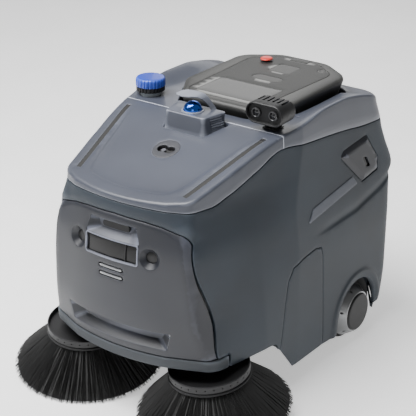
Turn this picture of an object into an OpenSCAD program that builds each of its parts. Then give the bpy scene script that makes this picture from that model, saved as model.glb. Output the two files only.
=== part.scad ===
// Autonomous indoor floor sweeper: two tilted side brushes, a roller brush, a hopper and a driver-less drive base.
// Millimetres, +Z up, front towards -Y, machine's left side towards +X, floor at Z = 0.

/* [Body] */
// Overall width across the side panels
body_w = 656; // [640:4:700]
// Distance from the datum to the foremost point of the front cover
front_reach = 482; // [470:2:500]
// Distance from the datum to the rearmost point of the belt line
rear_reach = 543; // [530:1:560]
// Height of the ridge where the front deck meets the rear deck
ridge_z = 773; // [765:1:785]
// Wall thickness of the moulded panels
wall = 4; // [3:0.5:5]
// Gap between neighbouring panels
panel_gap = 2; // [1.5:0.5:3]

/* [Wheels] */
// Radius of a drive tyre
tyre_r = 95; // [85:1:95]
// Width of a drive tyre
tyre_w = 44; // [36:1:48]
// Place of the drive axle along the machine
axle_y = 297; // [290:1:300]
// Radius of a caster wheel
caster_r = 37; // [30:1:38]
// Trail of a caster
caster_trail = 20; // [16:1:22]

/* [Side brushes] */
// Radius of the circle that the bristle tips sweep
brush_r = 226; // [200:2:227]
// Radius of the band that holds the bristles
band_r = 116; // [105:1:118]
// Distance from the band's top rim to the bristle tips, along the brush axis
brush_h = 142; // [130:1:144]
// Forward lean of a brush, in degrees
lean_front = 6.5; // [5:0.5:7]
// Inward lean of a brush, in degrees
lean_side = 3; // [2:0.5:4]
// Distance from the centre plane to a brush at its tips
brush_x = 230; // [229:1:236]
// Place of the tip circle's centre along the machine
brush_y = -318; // [-320:1:-312]

/* [Roller brush] */
// Outer radius of the roller brush
roller_r = 74; // [65:1:76]
// Length of the roller brush
roller_len = 430; // [380:5:430]
// Place of the roller along the machine
roller_y = 138; // [130:1:142]

/* [Console] */
// Height of the console's top face
console_z = 800; // [795:1:805]
// Diameter of the emergency stop button
stop_d = 38; // [30:1:42]
// Width of the touch screen
screen_w = 218; // [190:2:224]

/* [Filler] */
// Diameter of the water filler cap
cap_d = 88; // [80:1:92]

/* [Which] */
// Piece to build

/* [Hidden] */

$fn = 48;
half_w = body_w / 2;
eps = 0.01;
front_y = -front_reach;
rear_y = rear_reach;
seat = 0.3;          // rest gap between pieces that seat on each other
shaft_play = 0.05;   // radial clearance of a running shaft

// One horizontal section of the body's outer form. Sizes are measured inwards from the overall size:
// [height, front set-back, corner centre x, corner centre y, corner radius,
//  side set-in ahead of the ridge, side set-in, y where the side runs straight, rear set-back, rear corner radius]
LEVELS = [
    [ 50, 30, 228, -344, 56, 12,  4, -40, 63, 60],
    [105, 24, 230, -347, 58,  9,  1, -40, 52, 60],
    [190, 14, 232, -350, 60,  5,  0, -40, 38, 62],
    [350,  0, 215, -397, 45, 16,  0, -40, 34, 62],
    [480,  0, 209, -407, 41, 32,  9, -40, 21, 62],
    [520,  2, 206, -408, 40, 38, 14, -40,  0, 62],
    [600, 15, 190, -397, 38, 58, 25, -20, 30, 60],
    [665, 26, 176, -375, 45, 77, 32,   0, 50, 60],
    [745, 32, 176, -375, 46, 76, 38,  20, 55, 90],
    [830, 36, 172, -375, 46, 82, 43,  20, 62, 88]
];
BOW = 0.0009;        // front face bows back by BOW * x * x
bow_r = 20;
side_r = 30;
side_y1 = -192;

// Side outline of the top faces and of the seam under both decks, as [y, z]
deck_front_z = 667;
TOP_FRONT = [[-500, deck_front_z - 8], [-458, deck_front_z], [-385, 684], [-242, 727], [-96, ridge_z - 5],
    [-60, ridge_z]];
TOP_REAR = [[48, ridge_z - 1], [190, ridge_z - 9], [430, ridge_z - 26], [600, ridge_z - 40]];
SEAM_FRONT = [[-500, 653], [-400, 648], [-336, 646], [-269, 662], [-166, 700], [-63, 736]];
SEAM_REAR = [[42, 724], [161, 711], [255, 699], [352, 684], [446, 676], [600, 664]];
SEAM = concat(SEAM_FRONT, SEAM_REAR);
// Crest of each shoulder beside the console, as [y, z]
CREST = [[-60, ridge_z], [55, 789], [143, 802], [233, 801], [308, 789], [413, 761], [470, 738]];
crest_in = 40;       // set-in of the crest from the overall side
shoulder_foot = 210; // half distance between the feet of the shoulders' inner slopes
ridge_y = -60;

// Skirt outline on the sides, as [y, z]
skirt_z = 186;
skirt_low = 66;
SKIRT = [[-600, skirt_z], [-186, skirt_z], [-150, 180], [-58, skirt_low], [127, 62], [171, 58],
    [385, 58], [396, 72], [600, 92]];
arch_r = tyre_r + 14;

// ---------- forms shared by the panels ----------

// A thin disc whose full radius lies in the plane z, at its bottom or at its top
module pad(x, y, z, r, up, fn) {
    translate([x, y, up ? z - eps : z]) cylinder(r1 = up ? r - 1 : r, r2 = up ? r : r - 1, h = eps, $fn = fn);
}

module pads(l, t, up) {
    z = l[0];
    for (s = [-1, 1]) {
        for (x = [0, 50, 100, 150])
            pad(s * x, front_y + l[1] + BOW * x * x + bow_r, z, bow_r - t, up, 24);
        pad(s * l[2], l[3], z, l[4] - t, up, 32);
        pad(s * (half_w - l[5] - side_r), side_y1, z, side_r - t, up, 32);
        pad(s * (half_w - l[6] - side_r), l[7], z, side_r - t, up, 32);
        pad(s * (half_w - l[6] - l[9]), rear_y - l[8] - l[9], z, l[9] - t, up, 32);
    }
}

// The closed outer form of the body, set in by t
module body_form(t = 0) {
    for (i = [0 : len(LEVELS) - 2]) hull() {
        pads(LEVELS[i], t, false);
        pads(LEVELS[i + 1], t, true);
    }
}

// A side outline [y, z] pulled right across the machine
module across(points, w = 1000) {
    rotate([90, 0, 90]) linear_extrude(w, center = true) polygon(points);
}

// Everything below an outline [y, z], lowered by d
module below(line, d = 0) {
    across(concat([[600, -20], [-600, -20]], [for (p = concat([[-600, line[0][1]]], line)) [p[0], p[1] - d]]));
}

module shell(t = wall) {
    difference() {
        body_form(0);
        body_form(t);
    }
}

// A front outline [x, z] pushed through the front of the machine
module front_prism(points, y0 = -600, y1 = -250) {
    translate([0, y1, 0]) rotate([90, 0, 0]) linear_extrude(y1 - y0) polygon(points);
}

// Outline of the front cover as [x, z], grown by g
cover_top = 616;
cover_low = 224;
cover_corner = 38;
cover_corner_x = 196;
cover_corner_z = 556;
function cover_outline(g) = [
    [285 + g, cover_low - g], [258 + g, 400], [246 + g, 480],
    for (a = [5 : 17 : 90]) [cover_corner_x + (cover_corner + g) * cos(a),
        cover_corner_z + (cover_corner + g) * sin(a)],
    [147, cover_top - 10 + g], [100, cover_top - 4 + g], [0, cover_top + g]
];
function mirrored(p) = concat(p, [for (i = [len(p) - 2 : -1 : 0]) [-p[i][0], p[i][1]]]);

// Outline of a side door as [y, z], grown by g
function door_outline(g) = [
    [-127 - g, 148], [-104 - g, 284], [-88 - g, 353], [-64 - g, 388 + g], [-20, 398 + g], [50, 404 + g],
    [72 + g, 398 + g], [84 + g, 372], [104 + g, -6], [-70 - g, -6]
];

// Outline of the rear door as [x, z]
rear_door_w = 262;
rear_door_low = 20;
rear_door_top = 500;

module rear_door_zone(g) {
    translate([0, 280, 0]) rotate([-90, 0, 0]) mirror([0, 1, 0]) linear_extrude(400)
        polygon([[-rear_door_w - g, rear_door_low - g], [rear_door_w + g, rear_door_low - g],
            [rear_door_w - 12 + g, rear_door_top + g], [-rear_door_w + 12 - g, rear_door_top + g]]);
}

module side_of(s) {
    translate([s > 0 ? panel_gap / 4 : -700 - panel_gap / 4, -700, -50]) cube([700, 1400, 1000]);
}

// ---------- body panels ----------

module body_shell(s) {
    difference() {
        intersection() {
            shell();
            below(SEAM, panel_gap / 2);
            side_of(s);
        }
        front_prism(mirrored(cover_outline(panel_gap)));
        translate([-500, -600, 0]) cube([1000, 600 + bumper_y + panel_gap, cover_low]);
        across([[-600, -20], for (p = SKIRT) p, [600, -20]]);
        across(door_outline(panel_gap));
        rear_door_zone(panel_gap);
        translate([0, axle_y, tyre_r]) rotate([0, 90, 0]) cylinder(r = arch_r, h = 1000, center = true, $fn = 64);
        translate([-500, axle_y - arch_r, 0]) cube([1000, 2 * arch_r, tyre_r]);
        pod_zone(0);
    }
    wheel_arch_lip(s);
    shell_landings(s);
}

// Everything between two insets of the body's form
module skin(t0, t1) {
    difference() {
        body_form(t0);
        body_form(t1);
    }
}

// Flanges behind the openings: the covers and decks seat on them
flange_t = 3;
flange_w = 9;
bumper_y = -334;
module shell_landings(s) {
    difference() {
        intersection() {
            union() {
                skin(wall + seat, wall + seat + flange_t);
                // joins the flange to the shell, outside the openings
                difference() {
                    skin(wall - 1, wall + seat + flange_t);
                    across(door_outline(panel_gap));
                    rear_door_zone(panel_gap);
                    front_prism(mirrored(cover_outline(panel_gap)));
                    translate([-500, -600, 0]) cube([1000, 600 + bumper_y + panel_gap, cover_low]);
                    above_seam(panel_gap / 2);
                }
            }
            union() {
                difference() {
                    across(door_outline(panel_gap + flange_w));
                    across(door_outline(-flange_w));
                }
                difference() {
                    rear_door_zone(panel_gap + flange_w);
                    rear_door_zone(-flange_w);
                }
                difference() {
                    union() {
                        front_prism(mirrored(cover_outline(panel_gap + flange_w)));
                        translate([-500, -600, skirt_z + 4]) cube([1000, 600 + bumper_y, cover_low - skirt_z]);
                    }
                    front_prism(mirrored(cover_outline(-flange_w)));
                }
                difference() {
                    below(SEAM, -flange_w);
                    below(SEAM, panel_gap + flange_w);
                }
            }
            side_of(s);
        }
        across([[-600, -20], for (p = SKIRT) p, [600, -20]]);
        translate([0, axle_y, tyre_r]) rotate([0, 90, 0]) cylinder(r = arch_r, h = 1000, center = true, $fn = 64);
        pod_zone(1);
        translate([-500, ridge_y - 6, 600]) cube([1000, 12, 300]);
    }
}

module above_seam(d) {
    difference() {
        translate([-500, -700, 500]) cube([1000, 1400, 500]);
        below(SEAM, d);
    }
}

// Raised lip round a wheel arch
module wheel_arch_lip(s) {
    intersection() {
        translate([0, axle_y, tyre_r]) rotate([0, 90, 0]) difference() {
            cylinder(r = arch_r + 16, h = 1000, center = true, $fn = 64);
            cylinder(r = arch_r, h = 1001, center = true, $fn = 64);
        }
        difference() {
            body_form(-2);
            body_form(1);
        }
        side_of(s);
        translate([-500, axle_y - arch_r - 16, skirt_low + 2]) cube([1000, 2 * arch_r + 32, 400]);
        below(SEAM, 100);
    }
}

module body_shell_left() color("#3f4750") body_shell(1);
module body_shell_right() color("#3f4750") body_shell(-1);

// Recesses of the front cover
lidar_z = 517;
lidar_w = 170;
lidar_h = 50;
sensor_x = 124;
sensor_z = 516;
tray_z = 270;

module front_cover() color("#55596a") {
    difference() {
        intersection() {
            difference() {
                body_form(0);
                body_form(wall);
            }
            front_prism(mirrored(cover_outline(0)));
        }
        // opening for the laser scanner window and the sloped bay above it
        translate([-lidar_w / 2, -520, lidar_z - lidar_h / 2]) cube([lidar_w, 100, lidar_h]);
        front_prism([[-90, 548], [90, 548], [78, 592], [-78, 592]], -600, -440);
        // countersunk eyes of the distance sensors
        for (s = [-1, 1]) translate([s * sensor_x, -440, sensor_z]) rotate([90, 0, s * 9])
            cylinder(r = 22, h = 100, $fn = 32);
        // lower grip tray
        front_prism([[-166, 238], [166, 238], [178, 300], [-178, 300]], -600, -380);
        // two pill slots
        for (z = [438, 462]) slot_pill(-600, 42, 7, z);
    }
    // floor and back of the sloped bay, and of the tray
    front_bay([[-92, 546], [92, 546], [80, 594], [-80, 594]], -452);
    front_bay([[-168, 236], [168, 236], [180, 302], [-180, 302]], -424);
}

// A closed pocket behind an opening of the front cover, its back wall at y
module front_bay(p, y) {
    difference() {
        intersection() {
            front_prism(p, -600, y);
            body_form(1);
        }
        intersection() {
            front_prism([for (q = p) [q[0] - sign(q[0]) * 3, q[1] + (q[1] > (p[0][1] + p[2][1]) / 2 ? -3 : 3)]],
                -600, y - 3);
            body_form(0);
        }
    }
}

module slot_pill(y0, w, r, z) {
    translate([0, -440, z]) rotate([90, 0, 0]) hull()
        for (s = [-1, 1]) translate([s * (w - r), 0, 0]) cylinder(r = r, h = -440 - y0, $fn = 24);
}

// Bumper strip under the front cover
module front_bumper() color("#666b72") {
    intersection() {
        skin(-4, wall);
        translate([-half_w, -600, skirt_z]) cube([body_w, 600 + bumper_y, cover_low - panel_gap - skirt_z]);
    }
}

module deck_band(d0, d1) {
    difference() {
        below(concat(TOP_FRONT, TOP_REAR), d0);
        below(concat(TOP_FRONT, TOP_REAR), d1);
    }
}

module strip_zone(g, d) {
    for (s = [-1, 1]) hull() {
        translate([s * 183, -386, 640]) cylinder(r = 9 + g, h = 150 - d, $fn = 16);
        translate([s * 237, -98, 640]) cylinder(r = 9 + g, h = 150 - d, $fn = 16);
    }
}

socket_x = 3;
socket_y = -232;
socket_r = 40;

module deck_cap(t) {
    intersection() {
        body_form(t);
        difference() {
            below(TOP_FRONT_FULL, t);
            below(SEAM, t > 0 ? 60 : -panel_gap / 2);
        }
        translate([-500, -700, 500]) cube([1000, 700 + ridge_y - panel_gap / 2 - (t > 0 ? wall : 0), 400]);
    }
}
TOP_FRONT_FULL = concat(TOP_FRONT, TOP_REAR);

module top_deck() color("#737885") difference() {
    deck_cap(0);
    deck_cap(wall);
    strip_zone(seat, 0);
    translate([socket_x, socket_y, 600]) cylinder(r = socket_r + seat, h = 200);
    turret_pocket();
}

// Rounded pocket in the deck that the turret stands in
module turret_pocket() {
    translate([0, 0, 700]) linear_extrude(200) hull() {
        for (s = [-1, 1]) {
            translate([s * 88, -78]) circle(r = 16, $fn = 24);
            translate([s * 62, -142]) circle(r = 14, $fn = 24);
        }
    }
}

// Console outline, grown by g
module console_outline(g) {
    hull() for (s = [-1, 1]) {
        translate([s * 100, 42]) circle(r = 40 + g, $fn = 32);
        translate([s * 143, 135]) circle(r = 50 + g, $fn = 48);
        translate([s * 118, 370]) circle(r = 76 + g, $fn = 48);
        translate([s * 60, 405]) circle(r = 80 + g, $fn = 48);
    }
}

module shoulder(s, d) {
    for (i = [0 : len(CREST) - 2]) hull() for (p = [CREST[i], CREST[i + 1]]) {
        translate([0, p[0], 0]) rotate([90, 0, 0]) linear_extrude(eps) polygon([
            [s * (half_w + 20), p[1] + 2 - d], [s * (half_w - crest_in), p[1] - d],
            [s * (shoulder_foot + d), p[1] > ridge_z - 20 ? ridge_z - 8 - d : p[1] - 12 - d],
            [s * (shoulder_foot + d), 650], [s * (half_w + 20), 650]]);
    }
}

module rear_top(d) {
    intersection() {
        body_form(d);
        union() {
            below(TOP_FRONT_FULL, d);
            shoulder(1, d);
            shoulder(-1, d);
        }
        difference() {
            translate([-500, ridge_y + panel_gap / 2 + (d > 0 ? wall : 0), 600]) cube([1000, 700, 300]);
            below(SEAM, d > 0 ? 60 : -panel_gap / 2);
        }
    }
}

pocket_z = 738;
module rear_deck() color("#6c717e") {
    difference() {
        rear_top(0);
        difference() {
            rear_top(wall);
            translate([0, 0, pocket_z - wall]) linear_extrude(200) console_outline(12 + wall);
        }
        translate([0, 0, pocket_z]) linear_extrude(200) console_outline(12);
        translate([filler_x, filler_y, 600]) cylinder(r = neck_r + 3, h = 300);
        translate([212, 118, 600]) rotate([0, 0, 20]) translate([-9, -4, 0]) cube([18, 8, 300]);
    }
}

module rear_door() color("#3f4750") intersection() {
    shell();
    rear_door_zone(0);
    translate([-500, 280, rear_door_foot]) cube([1000, 400, 600]);
}
rear_door_foot = 62;

module side_door(s) {
    intersection() {
        shell();
        across(door_outline(0));
        difference() {
            side_of(s);
            across([[-600, -20], for (p = SKIRT) [p[0], p[1] + 0.5], [600, -20]]);
        }
    }
}
module side_door_left() color("#3f4750") side_door(1);
module side_door_right() color("#3f4750") side_door(-1);

// ---------- frame and drive ----------

rail_x = 211;
rail_w = 30;
rail_h = 36;
frame_z = 200;
tray_t = 5;
rail_y0 = -262;
rail_y1 = 440;
mast_x = 168;
mast_z = 640;
motor_r = 62;
motor_w = 46;
wheel_x = half_w - 58;       // middle plane of a drive tyre
bracket_x = wheel_x - motor_w / 2 - 8;

module chassis_frame() color("#2b2d30") {
    difference() {
        union() {
            for (s = [-1, 1]) translate([s * rail_x - rail_w / 2, rail_y0, frame_z]) cube([rail_w, rail_y1 - rail_y0, rail_h]);
            for (y = [rail_y0, 20, 226, rail_y1 - 20])
                translate([-rail_x, y, frame_z + tray_t]) cube([2 * rail_x, 20, rail_h - tray_t]);
            translate([-rail_x, rail_y0, frame_z]) cube([2 * rail_x, 502, tray_t]);
            // pad for a service jack
            translate([-40, -220, frame_z - 12]) cube([80, 60, 12 + eps]);
            // outriggers that carry the body shells
            for (s = [-1, 1], y = [125, 402])
                translate([s > 0 ? rail_x : -half_w + wall + seat, y, frame_z + rail_h - 14])
                    cube([half_w - wall - seat - rail_x, 18, 12]);
            // plates that carry the hub motors
            for (s = [-1, 1]) {
                translate([s * bracket_x - 4, axle_y - 40, tyre_r - 34]) cube([8, 80, frame_z - tyre_r + 34 + rail_h]);
                translate([min(s * bracket_x, s * rail_x), axle_y - 40, frame_z + rail_h - 6])
                    cube([bracket_x - rail_x, 80, 6]);
            }
            // nose arms that carry the side brush motors
            for (s = [-1, 1]) hull() {
                translate([s * arm_x, arm_y, arm_z]) cylinder(r = 40, h = 8);
                translate([s * rail_x - 15, rail_y0, arm_z]) cube([30, 20, 8]);
            }
            for (s = [-1, 1]) translate([s * rail_x - 15, rail_y0, frame_z]) cube([30, 20, arm_z - frame_z + 8]);
            // runners of the hopper
            for (s = [-1, 1]) translate([s * 173 - 7, 252, 176]) cube([14, rail_y1 - 252, 4]);
            for (s = [-1, 1]) translate([s * 178 - 2, 252, 176]) cube([4, rail_y1 - 252, 64]);
        }
        for (s = [-1, 1]) translate([s * bracket_x - 6, axle_y, tyre_r]) rotate([0, 90, 0]) cylinder(r = 10, h = 12);
    }
}

// Front mast for the scanner and the deck, and rear rack for fan, filter and console
module upper_frames() color("#2b2d30") {
    foot_z = frame_z + rail_h + seat;
    for (s = [-1, 1]) translate([s * mast_x - 12, rail_y0, foot_z]) cube([24, 20, mast_z - foot_z]);
    translate([-mast_x, rail_y0, lidar_z - 44]) cube([2 * mast_x, 20, 12]);
    translate([-56, -440, lidar_z - 36]) cube([112, 440 + rail_y0 + 20, 4]);
    for (s = [-1, 1]) translate([s * 52 - 4, -440, lidar_z - 44]) cube([8, 440 + rail_y0 + 20, 8]);
    for (s = [-1, 1]) translate([s * (rail_x - 3) - 12, rail_y1 - 20, foot_z]) cube([24, 20, 464]);
    translate([-rail_x, 252, frame_z + rail_h + 4]) cube([2 * rail_x, rail_y1 - 252, 4]);
    for (s = [-1, 1]) translate([s * rail_x - 12, 252, foot_z]) cube([24, 20, 5]);
}

// Hub motors: stator drum and the axle stub that the bracket clamps
module hub_motors() color("#9a9da0") for (s = [-1, 1]) translate([s * bracket_x, axle_y, tyre_r])
    rotate([0, s * 90, 0]) {
        translate([0, 0, -10]) cylinder(r = 10, h = 18);
        translate([0, 0, 4.3]) cylinder(r = 24, h = 4);
        translate([0, 0, 8.3 - eps]) cylinder(r = motor_r, h = motor_w - 8);
        translate([0, 0, motor_w]) cylinder(r = 12, h = 18);
    }

module at_wheel(s) {
    translate([s * wheel_x, axle_y, tyre_r]) rotate([0, s * 90, 0]) children();
}

rim_r = 76;
module tyre(s) {
    at_wheel(s) difference() {
        rotate_extrude($fn = 96) polygon([[rim_r, -tyre_w / 2], [tyre_r - 5, -tyre_w / 2], [tyre_r, -tyre_w / 2 + 6],
            [tyre_r, tyre_w / 2 - 6], [tyre_r - 5, tyre_w / 2], [rim_r, tyre_w / 2]]);
        for (z = [-9, 0, 9]) rotate_extrude($fn = 96) polygon([[tyre_r - 3, z - 1.5], [tyre_r + 1, z - 1.5],
            [tyre_r + 1, z + 1.5], [tyre_r - 3, z + 1.5]]);
    }
}
module tyre_left() color("#1c1c1c") tyre(1);
module tyre_right() color("#1c1c1c") tyre(-1);

// Outer rotor with the chamfered cover ring and the flat hub disc
ring_r = 84;
disc_r = 58;
disc_out = 68;       // reach of the hub disc beyond the wheel's middle plane
module wheel_hub(s) {
    at_wheel(s) {
        difference() {
            rotate_extrude($fn = 96) polygon([[motor_r + 3, -tyre_w / 2 + 2], [rim_r - 0.05, -tyre_w / 2 + 2],
                [rim_r - 0.05, tyre_w / 2 + 2], [ring_r, tyre_w / 2 + 2], [ring_r, tyre_w / 2 + 9],
                [disc_r + 4, disc_out - 6], [12 + shaft_play, disc_out - 6], [12 + shaft_play, tyre_w / 2 + 8],
                [motor_r + 3, tyre_w / 2 + 8]]);
            for (a = [0 : 60 : 300]) rotate(a + 15) translate([(ring_r + disc_r) / 2 + 2, 0, tyre_w / 2 + 6])
                cylinder(r = 3, h = 60, $fn = 24);
        }
        translate([0, 0, disc_out - 6 + eps]) cylinder(r1 = disc_r, r2 = disc_r - 3, h = 6, $fn = 96);
    }
}
module wheel_hub_left() color("#8c8c8c") wheel_hub(1);
module wheel_hub_right() color("#8c8c8c") wheel_hub(-1);

caster_x = 112;
caster_y = -20;
stem_r = 9;
fork_top = 2 * caster_r + 22;
module caster_mounts() color("#7c7f83") for (s = [-1, 1]) translate([s * caster_x, caster_y, 0]) difference() {
    union() {
        translate([-36, -30, frame_z - seat - 5]) cube([72, 60, 5]);
        translate([0, 0, fork_top + 6]) cylinder(r = 20, h = frame_z - seat - 4 - fork_top - 6);
    }
    translate([0, 0, fork_top]) cylinder(r = stem_r + shaft_play, h = frame_z - fork_top - 10);
}

module caster_fork(s) {
    translate([s * caster_x, caster_y, 0]) {
        translate([0, 0, fork_top - 4]) cylinder(r = stem_r, h = frame_z - 14 - fork_top);
        translate([0, 0, fork_top - 4]) cylinder(r = 26, h = 9.7);
        difference() {
            for (x = [-20, 16]) translate([x, 0, 0]) hull() {
                translate([0, caster_trail, caster_r]) rotate([0, 90, 0]) cylinder(r = 10, h = 4, $fn = 32);
                translate([0, -16, fork_top - 8]) cube([4, 38, 5]);
            }
            translate([-30, caster_trail, caster_r]) rotate([0, 90, 0]) cylinder(r = 5 + shaft_play, h = 60);
        }
        translate([-20, -16, fork_top - 8]) cube([40, 38, 5]);
    }
}
module caster_fork_left() color("#7c7f83") caster_fork(1);
module caster_fork_right() color("#7c7f83") caster_fork(-1);

// Caster wheel with its axle pin
module caster_wheel(s) {
    translate([s * caster_x, caster_y + caster_trail, caster_r]) rotate([0, 90, 0]) {
        rotate_extrude($fn = 64) polygon([[5, -14], [caster_r - 4, -14], [caster_r, -9], [caster_r, 9],
            [caster_r - 4, 14], [5, 14]]);
        translate([0, 0, -24]) cylinder(r = 5, h = 48);
    }
}
module caster_wheel_left() color("#2e3033") caster_wheel(1);
module caster_wheel_right() color("#2e3033") caster_wheel(-1);

// ---------- side brushes ----------

// Moves a piece drawn on the brush axis, with the bristle tips' centre at the origin, into place
module on_brush(s) {
    translate([s * brush_x, brush_y, brush_tip_z]) rotate([lean_front, -s * lean_side, 0]) children();
}
brush_tip_z = brush_r * sin(acos(cos(lean_front) * cos(lean_side))) + 0.2;
plate_z = brush_h;
band_h = 20;
arm_x = 206;
arm_y = -351;
arm_z = 292;

module bristles(s) {
    on_brush(s) rotate_extrude($fn = 96) polygon([
        [band_r - 40, plate_z - band_h - 12], [band_r - 4, plate_z - band_h - 12],
        [brush_r - 26, 22], [brush_r, 0], [brush_r - 66, 0]]);
}
module bristles_left() color("#2c2c2c") bristles(1);
module bristles_right() color("#2c2c2c") bristles(-1);

// Brush plate: band with vent holes, stepped flange and boss
module brush_plate(s) {
    on_brush(s) difference() {
        rotate_extrude($fn = 96) polygon([
            [8 + shaft_play, plate_z - 26], [band_r - 40, plate_z - 26], [band_r - 40, plate_z - band_h - 12 + seat],
            [band_r - 6, plate_z - band_h - 12 + seat], [band_r - 6, plate_z - band_h], [band_r, plate_z - band_h],
            [band_r, plate_z], [band_r - 5, plate_z], [band_r - 5, plate_z - 14], [24, plate_z - 14],
            [24, plate_z + 6], [8 + shaft_play, plate_z + 6]]);
        for (a = [0 : 12 : 348]) rotate(a) translate([band_r - 8, 0, plate_z - band_h / 2]) rotate([0, 90, 0])
            cylinder(r = 1.8, h = 20, $fn = 16);
    }
}
module brush_plate_left() color("#303030") brush_plate(1);
module brush_plate_right() color("#303030") brush_plate(-1);

// Gear motor: the output shaft drives the plate's bore
module brush_motor(s) {
    on_brush(s) {
        translate([0, 0, plate_z - 24]) cylinder(r = 8, h = 44);
        translate([0, 0, plate_z + 14]) cylinder(r = 34, h = 34);
        translate([0, 0, plate_z + 48 - eps]) cylinder(r = 28, h = 50);
    }
}
module brush_motor_left() color("#3a3d42") brush_motor(1);
module brush_motor_right() color("#3a3d42") brush_motor(-1);

// Bracket from the frame's nose arm down to the gear motor's face plate
module brush_arm(s) {
    on_brush(s) difference() {
        union() {
            translate([0, 0, plate_z + 14]) cylinder(r = 46, h = 6);
            for (a = [45, 135]) rotate(a) for (x = [-41, 41]) translate([x, 0, plate_z + 14]) cylinder(r = 4, h = 92);
            translate([0, 0, plate_z + 100]) cylinder(r = 46, h = 6);
        }
        translate([0, 0, plate_z]) cylinder(r = 34 + seat, h = 99);
    }
    translate([s * arm_x, arm_y, arm_z - seat - 17]) cylinder(r = 18, h = 17);
}
module brush_arm_left() color("#2b2d30") brush_arm(1);
module brush_arm_right() color("#2b2d30") brush_arm(-1);

// ---------- roller brush ----------

core_r = 34;
roller_pin_r = 8;
module roller_core() color("#5a5d61") translate([0, roller_y, roller_r + 0.5]) rotate([0, 90, 0]) {
    cylinder(r = core_r, h = roller_len - 10, center = true, $fn = 64);
    cylinder(r = roller_pin_r, h = roller_len + 32, center = true);
}

module roller_bristles() color("#262626") translate([0, roller_y, roller_r + 0.5]) rotate([0, 90, 0]) difference() {
    cylinder(r = roller_r, h = roller_len - 14, center = true, $fn = 96);
    cylinder(r = core_r + 0.02, h = roller_len, center = true, $fn = 64);
    for (a = [0 : 45 : 315]) rotate(a) translate([roller_r, 0, 0]) cylinder(r = 9, h = roller_len, center = true);
}

hood_gap = 8;
hood_t = 3;
// Hood with its end plates: open below, and open behind towards the hopper
module roller_hood() color("#34373b") {
    x1 = roller_len / 2 + 4;
    r1 = roller_r + hood_gap;
    translate([0, roller_y, roller_r + 0.5]) rotate([0, 90, 0]) difference() {
        cylinder(r = r1 + hood_t, h = 2 * x1, center = true, $fn = 96);
        cylinder(r = r1, h = 2 * x1 + 2, center = true, $fn = 96);
        translate([roller_r - 22, -200, -400]) cube([200, 400, 800]);
        translate([-40, 20, -400]) cube([300, 200, 800]);
    }
    for (s = [-1, 1]) difference() {
        translate([s * x1 + (s > 0 ? 0 : -4), roller_y - r1 - hood_t, 18]) cube([4, 2 * (r1 + hood_t), frame_z - seat - 18]);
        translate([s * x1 - 5, roller_y, roller_r + 0.5]) rotate([0, 90, 0])
            cylinder(r = roller_pin_r + shaft_play, h = 10);
    }
}

module roller_motor() color("#3a3d42") translate([-roller_len / 2 - 8.3, roller_y, roller_r + 0.5]) rotate([0, -90, 0])
    difference() {
        union() {
            cylinder(r = 24, h = 36);
            translate([0, -20, 0]) cube([96, 40, 4]);
        }
        translate([0, 0, -1]) cylinder(r = roller_pin_r + shaft_play, h = 14);
    }

// ---------- hopper, filter and fan ----------

hopper_w = 330;
hopper_y0 = 240;
hopper_y1 = rear_y - 64.3;
hopper_z0 = 66;
hopper_z1 = 168;
module dust_hopper() color("#4a4d52") {
    difference() {
        translate([-hopper_w / 2, hopper_y0, hopper_z0])
            cube([hopper_w, hopper_y1 - hopper_y0, hopper_z1 - hopper_z0]);
        translate([-hopper_w / 2 + 3, hopper_y0 - 1, hopper_z0 + 3])
            cube([hopper_w - 6, hopper_y1 - hopper_y0 - 2, hopper_z1 - hopper_z0 - 6]);
    }
    for (s = [-1, 1]) translate([s * (hopper_w / 2 + 3) - 7, 254, 180.3]) cube([14, 220, 3]);
    for (s = [-1, 1]) translate([s * (hopper_w / 2 - 2) - 2, 254, hopper_z1 - eps]) cube([4, 220, 183.3 - hopper_z1]);
}

module dust_filter() color("#c9c4b4") {
    translate([-150, 262, frame_z + rail_h + 8.3]) difference() {
        cube([300, 150, 60]);
        for (i = [0 : 17]) translate([8 + i * 16, 8, 6]) cube([8, 134, 60]);
    }
}

fan_x = 96;
fan_y = 340;
fan_z = frame_z + rail_h + 68.6;
module fan_housing() color("#3a3d42") difference() {
    translate([fan_x, fan_y, fan_z]) cylinder(r = 66, h = 52, $fn = 64);
    translate([fan_x, fan_y, fan_z + 3]) cylinder(r = 63, h = 38, $fn = 64);
    translate([fan_x, fan_y, fan_z - 1]) cylinder(r = 26, h = 6);
    translate([fan_x, fan_y, fan_z + 30]) cylinder(r = 6 + shaft_play, h = 30);
    translate([fan_x - 80, fan_y - 50, fan_z + 8]) cube([40, 30, 28]);
}

module fan_impeller() color("#7f8286") translate([fan_x, fan_y, fan_z + 6]) {
    cylinder(r = 58, h = 3, $fn = 64);
    for (a = [0 : 30 : 330]) rotate(a) translate([28, 0, 3 - eps]) rotate(-28) cube([30, 2, 26]);
    cylinder(r = 14, h = 24);
    cylinder(r = 6, h = 44);
}

// ---------- energy, control and water ----------

module battery_pack() color("#30343a") {
    translate([-140, -236, frame_z + tray_t + seat]) cube([280, 196, 170]);
    for (x = [-60, 60]) translate([x, -122, frame_z + tray_t + seat + 170 - eps]) cylinder(r = 9, h = 14);
}

module control_box() color("#9da0a4") {
    translate([-130, -212, 410]) {
        difference() {
            cube([260, 90, 50]);
            translate([3, 3, 3]) cube([254, 84, 44]);
        }
        translate([-26, -29.7, 0]) cube([26 + eps, 90, 4]);
        translate([260 - eps, -29.7, 0]) cube([26, 90, 4]);
    }
}

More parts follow.
